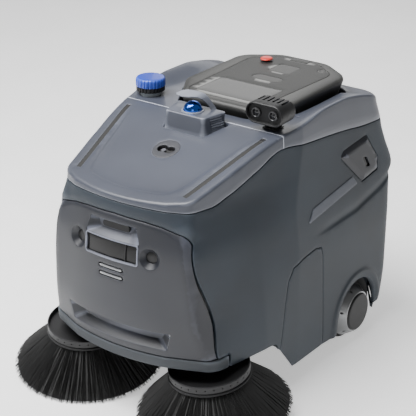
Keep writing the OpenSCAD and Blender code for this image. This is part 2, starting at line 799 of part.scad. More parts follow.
filler_x = -237;
filler_y = 6;
neck_r = 30;
cap_z = 784;
tank_top = 500;
module water_tank() color("#b9c2c8") difference() {
    union() {
        translate([-266, -36, frame_z + rail_h + seat]) cube([232, 250, tank_top - frame_z - rail_h - seat]);
        translate([filler_x, filler_y, tank_top - 1]) cylinder(r = neck_r, h = cap_z + 22 - tank_top + 1);
    }
    translate([filler_x, filler_y, tank_top - 10]) cylinder(r = neck_r - 4, h = 400);
    translate([-262, -32, frame_z + rail_h + 4]) cube([224, 242, tank_top - 4 - frame_z - rail_h - 4]);
}

// Filler cap: ribbed skirt below, scalloped cover above
module filler_cap_skirt() color("#1d1d1d") translate([filler_x, filler_y, cap_z]) difference() {
    union() {
        cylinder(r = cap_d / 2 - 3, h = 16, $fn = 64);
        for (a = [0 : 15 : 345]) rotate(a) translate([cap_d / 2 - 3.5, -3, 0]) cube([2.5, 6, 16]);
    }
    translate([0, 0, -1]) cylinder(r = neck_r + shaft_play, h = 30);
}
module filler_cap_top() color("#3a5fd0") translate([filler_x, filler_y, cap_z + 16]) difference() {
    union() {
        cylinder(r = cap_d / 2, h = 20, $fn = 64);
        translate([0, 0, 20 - eps]) cylinder(r1 = cap_d / 2, r2 = cap_d / 2 - 5, h = 6, $fn = 64);
    }
    translate([0, 0, -1]) cylinder(r = neck_r + shaft_play, h = 8);
    for (a = [0 : 15 : 345]) rotate(a + 7.5) translate([cap_d / 2 + 3.2, 0, -1]) cylinder(r = 4.5, h = 40, $fn = 24);
}

// ---------- fittings on the decks ----------

module light_strips() color("#4b4a46") intersection() {
    strip_zone(0, 0);
    deck_band(0.8, wall + 3);
}

module deck_socket() color("#33343a") difference() {
    z = 722;
    intersection() {
        translate([socket_x, socket_y, z - 12]) cylinder(r = socket_r, h = 60);
        below(TOP_FRONT_FULL, -1.2);
    }
    for (x = [-12, 12]) translate([socket_x + x, socket_y, z - 2]) cylinder(r = 15, h = 60, $fn = 32);
}

turret_top = 803;
module turret_housing() color("#6a6f7c") difference() {
    union() {
        hull() {
            for (s = [-1, 1]) {
                translate([s * 62, -138, 738]) cylinder(r = 12, h = 1, $fn = 24);
                translate([s * 84, -82, 738]) cylinder(r = 12, h = 1, $fn = 24);
                translate([s * 58, -136, turret_top - 1]) cylinder(r = 9, h = 1, $fn = 24);
                translate([s * 74, -66, turret_top - 1]) cylinder(r = 9, h = 1, $fn = 24);
            }
        }
    }
    // louvres on the outer face
    for (i = [0 : 4]) translate([60, -118, 770 + i * 6]) rotate([0, 0, 14]) cube([60, 44, 2.6]);
    translate([0, dome_y, turret_top - 8]) cylinder(r = dome_r + 0.1, h = 20);
}

dome_r = 27;
dome_y = -104;
module turret_dome() color("#3a62c8") {
    translate([0, dome_y, turret_top - 8 + seat]) cylinder(r = dome_r, h = 9);
    intersection() {
        translate([0, dome_y, turret_top + 1]) sphere(r = dome_r, $fn = 64);
        translate([-50, dome_y - 50, turret_top + 1 - eps]) cube([100, 100, 60]);
    }
}

module turret_strap() color("#6a6f7c") {
    translate([12, -138, turret_top + 46]) hull() for (x = [-48, 2], y = [8, 56]) translate([x, y, 0])
        cylinder(r = 6, h = 3, $fn = 24);
    hull() {
        translate([14, -98, turret_top + 46]) cube([4, 20, 3]);
        translate([42, -72, turret_top + seat]) cube([4, 16, 3]);
    }
}

module lidar_window() color("#101012") intersection() {
    skin(wall + seat, wall + seat + 3);
    translate([-lidar_w / 2 - 5, -520, lidar_z - lidar_h / 2 - 3]) cube([lidar_w + 10, 100, lidar_h + 6]);
}

module lidar_unit() color("#1a1a1c") translate([0, -404, lidar_z - 32 + seat]) {
    translate([-45, -34, 0]) cube([90, 68, 12]);
    cylinder(r = 34, h = 52, $fn = 64);
}

module front_sensors() color("#26262a") {
    for (s = [-1, 1]) translate([s * sensor_x, -440, sensor_z]) rotate([90, 0, s * 9]) cylinder(r = 21.7, h = 26, $fn = 32);
    translate([0, -455.3, 572]) rotate([90, 0, 0]) hull() for (s = [-1, 1]) translate([s * 40, 0, 0])
        cylinder(r = 9, h = 4, $fn = 24);
}

// Two bright bars on the plate that closes the pill slots from behind
module slot_bars() color("#a8a8a8") {
    intersection() {
        skin(wall + seat, wall + seat + 3);
        translate([-50, -520, 428]) cube([100, 100, 44]);
    }
    for (z = [438, 462]) translate([0, -474, z]) rotate([90, 0, 0]) hull()
        for (s = [-1, 1]) translate([s * 36, 0, 0]) cylinder(r = 3.5, h = 6, $fn = 24);
}

POD = [[228, 642], [363, 652], [420, 570], [413, 528], [320, 518], [210, 625]];
module pod_zone(g) {
    rotate([90, 0, 90]) linear_extrude(1000, center = true) offset(delta = g) polygon(POD);
}

module sensor_pods() color("#3c4048") difference() {
    intersection() {
        difference() {
            body_form(-9);
            body_form(wall + 6);
        }
        pod_zone(-0.5);
    }
    for (s = [-1, 1]) translate([s * (half_w - 10), 342, 548]) rotate([-22, 0, 0]) cube([60, 14, 40], center = true);
}

BADGE = [[14, 489], [44, 529], [270, 553], [294, 522]];
module badge_plates() color("#6a6e78") intersection() {
    difference() {
        body_form(-2);
        body_form(-0.3);
    }
    across(BADGE);
}

// ---------- console ----------

module console_panel_outline(g) {
    hull() for (s = [-1, 1]) {
        translate([s * 98, 70]) circle(r = 36 + g, $fn = 32);
        translate([s * 92, 370]) circle(r = 55 + g, $fn = 48);
        translate([s * 50, 396]) circle(r = 60 + g, $fn = 48);
    }
}
panel_t = 6;
stop_x = -87;
stop_y = 397;
button_x = 107;
button_y = 412;
button_r = 14;

module console_housing() color("#5f5f5d") difference() {
    union() {
        hull() {
            translate([0, 0, pocket_z + seat]) linear_extrude(1) console_outline(-14);
            translate([0, 0, console_z - 10]) linear_extrude(1) console_outline(0);
            translate([0, 0, console_z - 1]) linear_extrude(1) console_outline(-5);
        }
    }
    translate([0, 0, console_z - panel_t]) linear_extrude(50) console_panel_outline(1);
    translate([0, 0, pocket_z + 5]) linear_extrude(80) console_panel_outline(-12);
    translate([button_x, button_y, console_z - 30]) cylinder(r = button_r + seat, h = 60);
}

module console_panel() color("#6e6e6c") difference() {
    translate([0, 0, console_z - panel_t + seat]) linear_extrude(panel_t - seat - 0.5) console_panel_outline(0);
    translate([-screen_w / 2 - 0.3, 56 - 0.3, console_z - 3]) cube([screen_w + 0.6, 134.6, 20]);
    translate([stop_x, stop_y, console_z - 30]) cylinder(r = 11.3, h = 60);
    translate([button_x, button_y, console_z - 30]) cylinder(r = button_r + seat, h = 60);
    translate([0, 0, console_z - 1.2]) linear_extrude(20) {
        hull() for (s = [-1, 1]) translate([8 + s * 29, 258]) circle(r = 22, $fn = 32);
        hull() for (x = [-26, 26], y = [-26, 26]) translate([x + 3, 360 + y]) circle(r = 12, $fn = 32);
    }
}

module touch_screen() color("#858585") translate([-screen_w / 2, 56, console_z - 2.7]) cube([screen_w, 134, 2]);

module stop_base() color("#1c1c1c") translate([stop_x, stop_y, 0]) difference() {
    union() {
        translate([0, 0, console_z - 0.2]) cylinder(r = stop_d / 2 - 2, h = 3);
        translate([0, 0, console_z - 32]) cylinder(r = 11, h = 33);
    }
    translate([0, 0, console_z - 28]) cylinder(r = 6 + shaft_play, h = 60);
}

module stop_button() color("#e5403a") translate([stop_x, stop_y, console_z]) {
    translate([0, 0, -20]) cylinder(r = 6, h = 30);
    translate([0, 0, 8]) rotate_extrude($fn = 64) polygon([[0, 0], [stop_d / 2 - 1, 0], [stop_d / 2, 2],
        [stop_d / 2, 6], [stop_d / 2 - 4, 10], [stop_d / 2 - 10, 12], [0, 12.5]]);
}

module power_button() color("#6a6a68") translate([button_x, button_y, console_z - panel_t - 3]) {
    cylinder(r = button_r, h = 8.5);
}

// ---------- stereo camera ----------

cam_x = 216;
cam_y = -36;
cam_z = 826;
module stereo_camera() color("#3b3b3c") {
    difference() {
        translate([cam_x, cam_y + 36, cam_z]) rotate([90, 0, 0]) hull() for (s = [-1, 1]) translate([s * 30, 0, 0])
            cylinder(r = 31, h = 72, $fn = 48);
        for (s = [-1, 1]) translate([cam_x + s * 30, cam_y - 30, cam_z]) rotate([90, 0, 0]) cylinder(r = 13, h = 20);
        for (i = [0 : 5]) translate([cam_x - 44 + i * 15, cam_y - 2, cam_z + 18]) cube([6, 60, 30]);
    }
    for (s = [-1, 1]) translate([cam_x + s * 30, cam_y - 22, cam_z]) rotate([90, 0, 0]) cylinder(r = 12, h = 11);
    translate([cam_x - 18, cam_y + 2, ridge_z + 0.1]) cube([36, 30, cam_z - ridge_z - 18]);
}

// ---------- one line for each piece ----------

chassis_frame();
roller_hood();
hub_motors();
tyre_left();
tyre_right();
wheel_hub_left();
wheel_hub_right();
caster_mounts();
caster_fork_left();
caster_fork_right();
caster_wheel_left();
caster_wheel_right();
brush_arm_left();
brush_arm_right();
brush_motor_left();
brush_motor_right();
brush_plate_left();
brush_plate_right();
bristles_left();
bristles_right();
roller_core();
roller_bristles();
roller_motor();
dust_hopper();
dust_filter();
fan_housing();
fan_impeller();
battery_pack();
control_box();
water_tank();
filler_cap_skirt();
filler_cap_top();
body_shell_left();
body_shell_right();
front_cover();
front_bumper();
top_deck();
rear_deck();
rear_door();
side_door_left();
side_door_right();
upper_frames();
light_strips();
deck_socket();
turret_housing();
turret_dome();
turret_strap();
lidar_window();
lidar_unit();
front_sensors();
slot_bars();
sensor_pods();
badge_plates();
console_housing();
console_panel();
touch_screen();
stop_base();
stop_button();
power_button();
stereo_camera();
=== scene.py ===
# %% [markdown]
# # Looks of a robotic floor sweeper
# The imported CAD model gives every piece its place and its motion. This lesson builds the visible pieces round it:
# big moulded panels first, then wheels and brushes, then the fittings, then finishes, light and camera.
# All lengths in the making are millimetres, and one function turns them to Blender's metres.

# %% Load the frame
import bpy
import math
import random
import numpy as np
from mathutils import Matrix, Vector
from mathutils.geometry import delaunay_2d_cdt


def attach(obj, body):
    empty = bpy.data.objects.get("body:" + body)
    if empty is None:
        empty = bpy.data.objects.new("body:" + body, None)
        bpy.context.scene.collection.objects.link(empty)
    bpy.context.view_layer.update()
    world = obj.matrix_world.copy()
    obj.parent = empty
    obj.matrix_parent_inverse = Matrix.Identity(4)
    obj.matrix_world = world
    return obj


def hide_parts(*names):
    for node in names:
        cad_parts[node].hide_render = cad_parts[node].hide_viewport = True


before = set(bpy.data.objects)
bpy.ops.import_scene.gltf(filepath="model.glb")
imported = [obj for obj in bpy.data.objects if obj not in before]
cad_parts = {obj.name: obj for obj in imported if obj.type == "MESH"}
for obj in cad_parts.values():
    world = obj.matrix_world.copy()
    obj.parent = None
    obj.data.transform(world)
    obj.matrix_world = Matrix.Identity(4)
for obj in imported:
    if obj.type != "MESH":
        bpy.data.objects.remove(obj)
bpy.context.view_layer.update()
rng = random.Random(7)
MM = 0.001
print("nodes in the frame:", len(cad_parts))

# %% [markdown]
# A colour is written as an sRGB hex value, the way a paint card gives it. The shader wants linear light,
# so one function turns it. One small function adds a node with its settings and links.

# %% Colour and node helpers
def lin(code):
    values = [int(code[i:i + 2], 16) / 255 for i in (1, 3, 5)]
    return tuple(v / 12.92 if v <= 0.04045 else ((v + 0.055) / 1.055) ** 2.4 for v in values) + (1,)


def add(tree, kind, settings=None, **links):
    node = tree.nodes.new("ShaderNode" + kind)
    for key, value in (settings or {}).items():
        if isinstance(key, int) or key in node.inputs:
            node.inputs[key].default_value = value
        else:
            setattr(node, key, value)
    for key, source in links.items():
        tree.links.new(source, node.inputs[key.replace("_", " ")])
    return node


# %% [markdown]
# Most of the machine is moulded plastic or painted metal. Both have a base colour that drifts a little over the
# part, a fine grain from the mould or the paint, and a lighter colour painted on their edges as a highlight.
# One recipe makes them all: a large cloud for the drift, a fine cloud for the grain, and the mesh's own
# pointiness for the painted edge highlight. Grain size is given in millimetres.

# %% The moulded finish
def finish(name, dark, light, rough, grain_mm=0.8, bump=0.15, metallic=0.0, edge=None, ior=1.5, coat=0.0,
           drift_mm=220, speckle=0.25):
    mat = bpy.data.materials.new(name)
    mat.use_nodes = True
    tree = mat.node_tree
    tree.nodes.clear()
    spot = add(tree, "TexCoord").outputs["Object"]
    drift = add(tree, "TexNoise", {"Scale": 1000 / drift_mm, "Detail": 2.0}, Vector=spot)
    grain = add(tree, "TexNoise", {"Scale": 1000 / grain_mm, "Detail": 3.0}, Vector=spot)
    mix = add(tree, "Math", {"operation": "MULTIPLY_ADD", 1: speckle})
    tree.links.new(grain.outputs["Fac"], mix.inputs[0])
    tree.links.new(drift.outputs["Fac"], mix.inputs[2])
    ramp = add(tree, "ValToRGB", Fac=mix.outputs[0])
    ramp.color_ramp.elements[0].position = 0.35
    ramp.color_ramp.elements[0].color = lin(dark)
    ramp.color_ramp.elements[1].position = 0.85
    ramp.color_ramp.elements[1].color = lin(light)
    colour = ramp.outputs["Color"]
    geometry = add(tree, "NewGeometry")
    # Pointiness picks out the convex edges, which take the edge colour as a painted highlight.
    edge_highlight = add(tree, "MapRange", {"From Min": 0.52, "From Max": 0.60}, Value=geometry.outputs["Pointiness"])
    if edge:
        blend = add(tree, "MixRGB", {"Color2": lin(edge)}, Fac=edge_highlight.outputs[0], Color1=colour)
        colour = blend.outputs[0]
    sheen = add(tree, "MapRange", {"To Min": rough - 0.05, "To Max": rough + 0.07}, Value=grain.outputs["Fac"])
    height = add(tree, "Bump", {"Strength": bump, "Distance": grain_mm * MM * 0.4}, Height=grain.outputs["Fac"])
    shader = add(tree, "BsdfPrincipled", {"Metallic": metallic, "Coat Weight": coat})
    if not metallic:
        shader.inputs["IOR"].default_value = ior
    tree.links.new(colour, shader.inputs["Base Color"])
    tree.links.new(sheen.outputs[0], shader.inputs["Roughness"])
    tree.links.new(height.outputs[0], shader.inputs["Normal"])
    out = add(tree, "OutputMaterial")
    tree.links.new(shader.outputs[0], out.inputs["Surface"])
    return mat


# Each finish's edge colour is a painted highlight on its convex edges.
DECK = finish("satin_metallic_paint_on_ABS", "#3A3D47", "#454954", 0.42, 1.6, 0.10, edge="#A9AEBB", coat=0.15)
SIDE = finish("grained_ABS_graphite", "#151C24", "#222C36", 0.55, 2.6, 0.35, edge="#5E6670", speckle=0.45)
COVER = finish("satin_ABS_slate", "#191B21", "#23252D", 0.45, 1.6, 0.12, edge="#8B90A0")
BUMPER = finish("moulded_rubber_strip", "#22272D", "#2F3439", 0.62, 2.0, 0.25, edge="#747B84")
CONSOLE = finish("textured_ABS_warm_grey", "#1F1F1E", "#292928", 0.5, 1.8, 0.25, edge="#7C7C7A")
SCREEN = finish("antiglare_glass", "#2C2C2B", "#323231", 0.45, 3.0, 0.02, coat=0.3)
BLACK = finish("textured_ABS_black", "#070708", "#101012", 0.5, 1.5, 0.25, edge="#1C1C1E")
GLOSS = finish("infrared_window_acrylic", "#020203", "#050506", 0.2, 3.0, 0.01, ior=1.35)
RUBBER = finish("tyre_rubber", "#070707", "#0F0F0F", 0.72, 2.2, 0.35, edge="#2A2A2A")
FIBRE = finish("bristle_nylon_black", "#0E0E0E", "#202020", 0.5, 3.0, 0.1, speckle=0.5)
ALLOY = finish("satin_cast_aluminium", "#4A4B4C", "#66676A", 0.32, 1.2, 0.12, metallic=1.0, edge="#C8C9CA")
STEEL = finish("zinc_plated_steel", "#6C6F72", "#85888B", 0.38, 1.0, 0.1, metallic=1.0, edge="#A8ABAE")
FRAME = finish("powder_coated_steel", "#0C0D0E", "#151719", 0.55, 1.8, 0.3, edge="#3C3E41")
STRIP = finish("ribbed_diffuser_smoke", "#121211", "#1A1918", 0.62, 1.4, 0.15)
RED = finish("moulded_red_nylon", "#B81A10", "#D22A1E", 0.35, 1.2, 0.08, edge="#F06A5E", coat=0.3)
CAP_BLUE = finish("moulded_blue_polypropylene", "#12308F", "#1D45C4", 0.38, 1.4, 0.1, edge="#6C8CEC", coat=0.2)
PLATE = finish("brushed_name_plate", "#3C4049", "#4C505A", 0.4, 1.0, 0.1, metallic=0.4, edge="#9A9EA8")
POLY = finish("milky_polyethylene", "#9AA3A9", "#B6BEC4", 0.5, 2.5, 0.15)
PAPER = finish("pleated_filter_paper", "#A8A292", "#C0BAA9", 0.8, 1.0, 0.3)
print("finishes:", len(bpy.data.materials))

# %% [markdown]
# ## The body's form
# The moulding is a stack of horizontal outlines, each the tight wrap round a few discs: shallow bow in front,
# a corner, a straight side and a rear corner. Between the named heights the sizes follow a smooth curve, so the
# big faces have no kinks. A wrap round discs is easy to describe by how far it reaches in each direction, and
# from that the distance from a centre line follows. The result is one function from angle and height to a point.

# %% Sizes of the body, in millimetres
HALF_W = 328
FRONT_Y, REAR_Y = -482, 543
RIDGE_Y, RIDGE_Z = -60, 773
GAP = 2
BOW, BOW_R = 0.0009, 20          # the front face bows back by BOW * x * x
SIDE_Y, SIDE_R = -192, 30        # the disc that starts the straight side
SIDES = ((1, "left"), (-1, "right"))
FLIP_X = Matrix.Diagonal((-1, 1, 1, 1))
HEIGHTS = [50, 105, 190, 350, 480, 520, 600, 665, 745, 830]
SIZES = dict(
    front=[30, 24, 14, 0, 0, 2, 15, 26, 32, 36], corner_x=[228, 230, 232, 215, 209, 206, 190, 176, 176, 172],
    corner_y=[-344, -347, -350, -397, -407, -408, -397, -375, -375, -375],
    corner_r=[56, 58, 60, 45, 41, 40, 38, 45, 46, 46], ahead=[12, 9, 5, 16, 32, 38, 58, 77, 76, 82],
    side=[4, 1, 0, 0, 9, 14, 25, 32, 38, 43], straight=[-40, -40, -40, -40, -40, -40, -20, 0, 20, 20],
    rear=[63, 52, 38, 34, 21, 0, 30, 50, 55, 62], rear_r=[60, 60, 62, 62, 62, 62, 60, 60, 90, 88])
TOP_FRONT = [(-500, 659), (-458, 667), (-385, 684), (-242, 727), (-96, 768), (-60, 773)]
TOP_REAR = [(-60, 773), (48, 772), (190, 764), (430, 747), (600, 733)]
SEAM = [(-500, 653), (-400, 648), (-336, 646), (-269, 662), (-166, 700), (-63, 736), (42, 724), (161, 711),
        (255, 699), (352, 684), (446, 676), (600, 664)]
CREST = [(-60, 773), (55, 789), (143, 802), (233, 801), (308, 789), (413, 761), (470, 738), (600, 690)]
SKIRT = [(-600, 186), (-186, 186), (-150, 180), (-58, 66), (127, 62), (171, 58), (385, 58), (396, 72), (600, 92)]
AXLE_Y, TYRE_R, ARCH_R = 297, 95, 109


def smooth_line(points, at):
    """A smooth curve through the points that never overshoots them."""
    x, y = (np.array(v, float) for v in zip(*points))
    at = np.asarray(at, float)
    slope = np.diff(y) / np.diff(x)
    tangent = np.concatenate([[slope[0]], np.where(slope[1:] * slope[:-1] > 0, 2 * slope[1:] * slope[:-1]
        / np.where(slope[1:] + slope[:-1] == 0, 1, slope[1:] + slope[:-1]), 0), [slope[-1]]])
    i = np.clip(np.searchsorted(x, at) - 1, 0, len(x) - 2)
    h = x[i + 1] - x[i]
    t = np.clip((at - x[i]) / h, 0, 1)
    return (y[i] * (1 + 2 * t) * (1 - t) ** 2 + h * tangent[i] * t * (1 - t) ** 2
            + y[i + 1] * t * t * (3 - 2 * t) + h * tangent[i + 1] * t * t * (t - 1))


ZS = np.arange(50, 831, 5.0)
TH = np.radians(np.arange(0, 180.01, 0.25))
MID_Y = 20


def reach_table():
    level = {k: smooth_line(list(zip(HEIGHTS, v)), ZS) for k, v in SIZES.items()}
    phi = np.radians(np.arange(-90, 270, 0.5))
    ux, uy = np.sin(phi), -np.cos(phi)
    table = np.zeros((len(ZS), len(TH)))
    for i in range(len(ZS)):
        l = {k: v[i] for k, v in level.items()}
        discs = [(x, FRONT_Y + l["front"] + BOW * x * x + BOW_R, BOW_R) for x in range(0, 151, 10)]
        discs += [(l["corner_x"], l["corner_y"], l["corner_r"]), (HALF_W - l["ahead"] - SIDE_R, SIDE_Y, SIDE_R),
                  (HALF_W - l["side"] - SIDE_R, l["straight"], SIDE_R),
                  (HALF_W - l["side"] - l["rear_r"], REAR_Y - l["rear"] - l["rear_r"], l["rear_r"])]
        reach = np.max([s * x * ux + (y - MID_Y) * uy + r for x, y, r in discs for s in (1, -1)], axis=0)
        turn = np.cos(phi[None, :] - TH[:, None])
        table[i] = np.min(np.where(turn > 0.05, reach[None, :] / np.maximum(turn, 0.05), 1e9), axis=1)
    return table


REACH = reach_table()


def on_body(theta, z):
    """Points of the outer form, for angles from the front centre (left side positive) and heights."""
    theta, z = np.broadcast_arrays(np.asarray(theta, float), np.asarray(z, float))
    theta = (theta + math.pi) % (2 * math.pi) - math.pi
    a = np.clip(np.abs(theta) / TH[1], 0, len(TH) - 1.001)
    b = np.clip((z - ZS[0]) / 5, 0, len(ZS) - 1.001)
    i, j = a.astype(int), b.astype(int)
    fa, fb = a - i, b - j
    r = ((REACH[j, i] * (1 - fa) + REACH[j, i + 1] * fa) * (1 - fb)
         + (REACH[j + 1, i] * (1 - fa) + REACH[j + 1, i + 1] * fa) * fb)
    return np.stack([r * np.sin(theta), MID_Y - r * np.cos(theta), z + 0 * r], -1)


def body_normal(theta, z):
    e = 0.012
    du = on_body(theta + e, z) - on_body(theta - e, z)
    dz = on_body(theta, z + 5) - on_body(theta, z - 5)
    n = np.cross(du, dz)
    return n / np.linalg.norm(n, axis=-1, keepdims=True)


def angle_at(z, x=None, y=None, rear=False):
    """The angle where the form has this x (front or rear face) or this y (left side)."""
    p = on_body(TH, np.full(len(TH), z))
    if y is not None:
        return float(np.interp(y, p[:, 1], TH))
    top = int(np.argmax(p[:, 0]))
    if rear:
        return float(np.interp(-x, -p[top:, 0], TH[top:]))
    return float(np.interp(x, p[:top + 1, 0], TH[:top + 1]))


UNROLL = 420         # the form is unrolled to a flat sheet at this radius
print("body form at 480 mm:", np.round(on_body(np.radians([0, 90, 180]), 480)).tolist())

# %% [markdown]
# ## Panels
# A moulded panel is an outline filled with faces, its edge rolled over a small radius, and a wall behind the edge.
# It is drawn flat on the unrolled sheet, filled with an even net of triangles, and then every point is laid on
# the form. Extra points along an edge carry the roll, so no bevel has to fight the triangles.

# %% Flat outlines
def dense(points, step=7.0, closed=True):
    """The outline with a point at least every step."""
    out = []
    for a, b in zip(points, points[1:] + points[:1] if closed else points[1:]):
        n = max(1, int(math.dist(a, b) / step))
        out += [tuple(np.array(a) + (np.array(b) - np.array(a)) * k / n) for k in range(n)]
    return out if closed else out + [tuple(points[-1])]


def rounded(points, r, seg=5):
    """The closed outline with every corner rounded; r is one radius or one per corner."""
    out = []
    n = len(points)
    for i, p in enumerate(points):
        rr = r[i] if isinstance(r, (list, tuple)) else r
        a, b, c = (np.array(q, float) for q in (points[i - 1], p, points[(i + 1) % n]))
        u, v = (a - b) / np.linalg.norm(a - b), (c - b) / np.linalg.norm(c - b)
        half = math.acos(max(-1, min(1, float(u @ v)))) / 2
        if rr < 0.1 or half > 1.5:
            out.append(tuple(b))
            continue
        reach = min(rr / math.tan(half), 0.45 * math.dist(a, b), 0.45 * math.dist(b, c))
        p0, p2 = b + u * reach, b + v * reach
        out += [tuple((1 - t) ** 2 * p0 + 2 * t * (1 - t) * b + t * t * p2) for t in np.linspace(0, 1, seg + 1)]
    return out


def offset(loop, d):
    """The closed loop moved to its left by d."""
    p = np.array(loop, float)
    a, b = p - np.roll(p, 1, 0), np.roll(p, -1, 0) - p
    a /= np.maximum(np.linalg.norm(a, axis=1, keepdims=True), 1e-9)
    b /= np.maximum(np.linalg.norm(b, axis=1, keepdims=True), 1e-9)
    t = a + b
    t /= np.maximum(np.linalg.norm(t, axis=1, keepdims=True), 1e-9)
    grow = 1 / np.clip((a * t).sum(1), 0.5, 1)
    return p + np.stack([-t[:, 1], t[:, 0]], 1) * d * grow[:, None]


def turned(loop, left=True):
    p = np.array(loop, float)
    area = (p[:, 0] * np.roll(p[:, 1], -1) - np.roll(p[:, 0], -1) * p[:, 1]).sum()
    return loop if (area > 0) == left else loop[::-1]


def inside(points, loops):
    x, y = points[:, 0], points[:, 1]
    odd = np.zeros(len(points), bool)
    for loop in loops:
        p = np.array(loop, float)
        q = np.roll(p, -1, 0)
        for (x0, y0), (x1, y1) in zip(p, q):
            if y0 != y1:
                odd ^= ((y0 > y) != (y1 > y)) & (x < (x1 - x0) * (y - y0) / (y1 - y0) + x0)
    return odd


def mesh_piece(name, verts, faces, mat, body="machine", smooth=32):
    mesh = bpy.data.meshes.new(name)
    mesh.from_pydata([tuple(v) for v in np.asarray(verts) * MM], [], [tuple(int(i) for i in f) for f in faces])
    mesh.validate()
    piece = bpy.data.objects.new(name, mesh)
    bpy.context.collection.objects.link(piece)
    mesh.materials.append(mat)
    shade(piece, smooth)
    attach(piece, body)
    return piece


def only(piece):
    for o in bpy.context.selected_objects:
        o.select_set(False)
    piece.select_set(True)
    bpy.context.view_layer.objects.active = piece


def shade(piece, angle):
    only(piece)
    bpy.ops.object.shade_smooth_by_angle(angle=math.radians(angle))


def mend(piece, merge=0.0, outwards=True):
    """Merges points closer than merge, in metres, and turns the faces outwards."""
    only(piece)
    bpy.ops.object.mode_set(mode="EDIT")
    bpy.ops.mesh.select_all(action="SELECT")
    if merge:
        bpy.ops.mesh.remove_doubles(threshold=merge)
    if outwards:
        bpy.ops.mesh.normals_make_consistent(inside=False)
    bpy.ops.object.mode_set(mode="OBJECT")


# %% Fill an outline and lay it on a surface
def net(loops, step, marks=(), roll=1.6):
    """Points [u, v], how deep each lies below the surface, and triangles, for an outline with holes."""
    loops = [turned(list(l), i == 0) for i, l in enumerate(loops)]
    points, depth, edges = [], [], []
    for loop in loops:
        start = len(points)
        points += [tuple(p) for p in loop]
        depth += [roll] * len(loop)
        edges += [(start + k, start + (k + 1) % len(loop)) for k in range(len(loop))]
    rim = len(points)
    if roll:
        for loop in loops:
            for inset, drop in ((0.13, 0.5), (0.5, 0.13), (1.0, 0.0)):
                ring = offset(loop, inset * roll)
                points += [tuple(p) for p in ring]
                depth += [drop * roll] * len(ring)
    else:
        depth = [0.0] * rim
    for mark in marks:
        points += [tuple(p) for p in mark]
        depth += [0.0] * len(mark)
    fixed = np.array(points)
    lo, hi = fixed[:rim].min(0), fixed[:rim].max(0)
    rows = np.arange(lo[1] + step / 2, hi[1], step * 0.87)
    columns = np.arange(lo[0], hi[0], step)
    grid = np.array([(u + (k % 2) * step / 2, v) for k, v in enumerate(rows) for u in columns])
    if len(grid):
        grid = grid[inside(grid, loops)]
        cells = {}
        size = step * 0.55
        for p in fixed:
            cells.setdefault((int(p[0] // size), int(p[1] // size)), []).append(p)
        keep = []
        for g in grid:
            i, j = int(g[0] // size), int(g[1] // size)
            close = any((p[0] - g[0]) ** 2 + (p[1] - g[1]) ** 2 < size * size
                        for a in (-1, 0, 1) for b in (-1, 0, 1) for p in cells.get((i + a, j + b), ()))
            if not close:
                keep.append(tuple(g))
        points += keep
        depth += [0.0] * len(keep)
    got = delaunay_2d_cdt([Vector(p) for p in points], edges, [], 0, 1e-4)
    where = np.array([tuple(v) for v in got[0]])
    deep = np.array([depth[o[0]] if o else 0.0 for o in got[3]])
    tri = np.array([f for f in got[2] if len(f) == 3])
    tri = tri[inside(where[tri].mean(1), loops)]
    used = np.unique(tri)
    back = -np.ones(len(where), int)
    back[used] = range(len(used))
    return where[used], deep[used], back[tri], loops


def panel(name, loops, lay, mat, body="machine", step=12.0, marks=(), roll=1.6, wall=4.0, mirror=False, smooth=38):
    """A panel: lay(uv, depth) gives its points; the edge gets a wall of that depth."""
    uv, deep, tri, loops = net(loops, step, marks, roll)
    verts = [lay(uv, deep)]
    faces = [tuple(t) for t in tri]
    count = len(uv)
    for loop in loops:
        p = np.array(loop, float)
        n = len(p)
        verts += [lay(p, np.full(n, roll)), lay(p, np.full(n, wall))]
        faces += [(count + k, count + n + k, count + n + (k + 1) % n, count + (k + 1) % n) for k in range(n)]
        count += 2 * n
    verts = np.concatenate(verts)
    if mirror:
        verts = verts * [-1, 1, 1]
        faces = [f[::-1] for f in faces]
    piece = mesh_piece(name, verts, faces, mat, body, smooth)
    mend(piece, 2e-5, outwards=False)
    print(name, len(piece.data.polygons), "faces")
    return piece


def on_sheet(relief=None):
    """Lays unrolled points on the body; relief(points) raises them along the surface."""
    def lay(uv, depth):
        theta = uv[:, 0] / UNROLL
        p, n = on_body(theta, uv[:, 1]), body_normal(theta, uv[:, 1])
        rise = relief(p) if relief else 0.0
        return p + n * (rise - depth)[:, None]
    return lay


def sheet_from(points, kind):
    """Turns [x, z] of the front or rear face, or [y, z] of the left side, to the unrolled sheet."""
    out = []
    for a, z in points:
        zz = min(max(z, 50), 830)
        if kind == "side":
            t = angle_at(zz, y=a)
        else:
            t = math.copysign(angle_at(zz, x=abs(a), rear=kind == "rear"), a) if abs(a) > 1e-6 else (
                0.0 if kind == "front" else math.pi)
        out.append((t * UNROLL, z))
    return out


# %% [markdown]
# ## The body moulding
# This is one large moulding with a leathery grain. Its top edge follows the decks, its lower edge is a skirt that
# dips ahead of the wheels, and it is cut out for the front cover, two service
# covers, the wheels and the rear door. The outline is drawn once for the left half and mirrored.

# %% Outline of the moulding
def cover_outline(g):
    arc = [(196 + (38 + g) * math.cos(a), 556 + (38 + g) * math.sin(a)) for a in np.radians(np.arange(5, 91, 12))]
    side = [(285 + g, 224 - g), (258 + g, 400), (246 + g, 480)]
    return side + arc + [(147, 606 + g), (100, 612 + g), (0, 616 + g)]


def door_outline(g):
    return [(104 + g, 64), (84 + g, 372), (76 + g, 396 + g), (50, 404 + g), (-20, 398 + g), (-64 - g, 386 + g),
            (-88 - g, 353), (-104 - g, 284), (-126 - g, 152)]


def skirt(y):
    return float(np.interp(y, *zip(*SKIRT)))


def seam(y, g=0.0):
    return float(smooth_line(SEAM, y)) + g


def top_edge(g, n=400):
    """The unrolled upper edge, from the rear centre on the right round the front to the rear centre."""
    out = []
    for t in np.linspace(-math.pi, math.pi, n):
        z = 700.0
        for _ in range(6):
            z = seam(float(on_body(t, z)[1]), g)
        out.append((t * UNROLL, z))
    return out


rear_side = [(0, 502), (250, 502), (253, 380), (257, 240), (260, 92)]


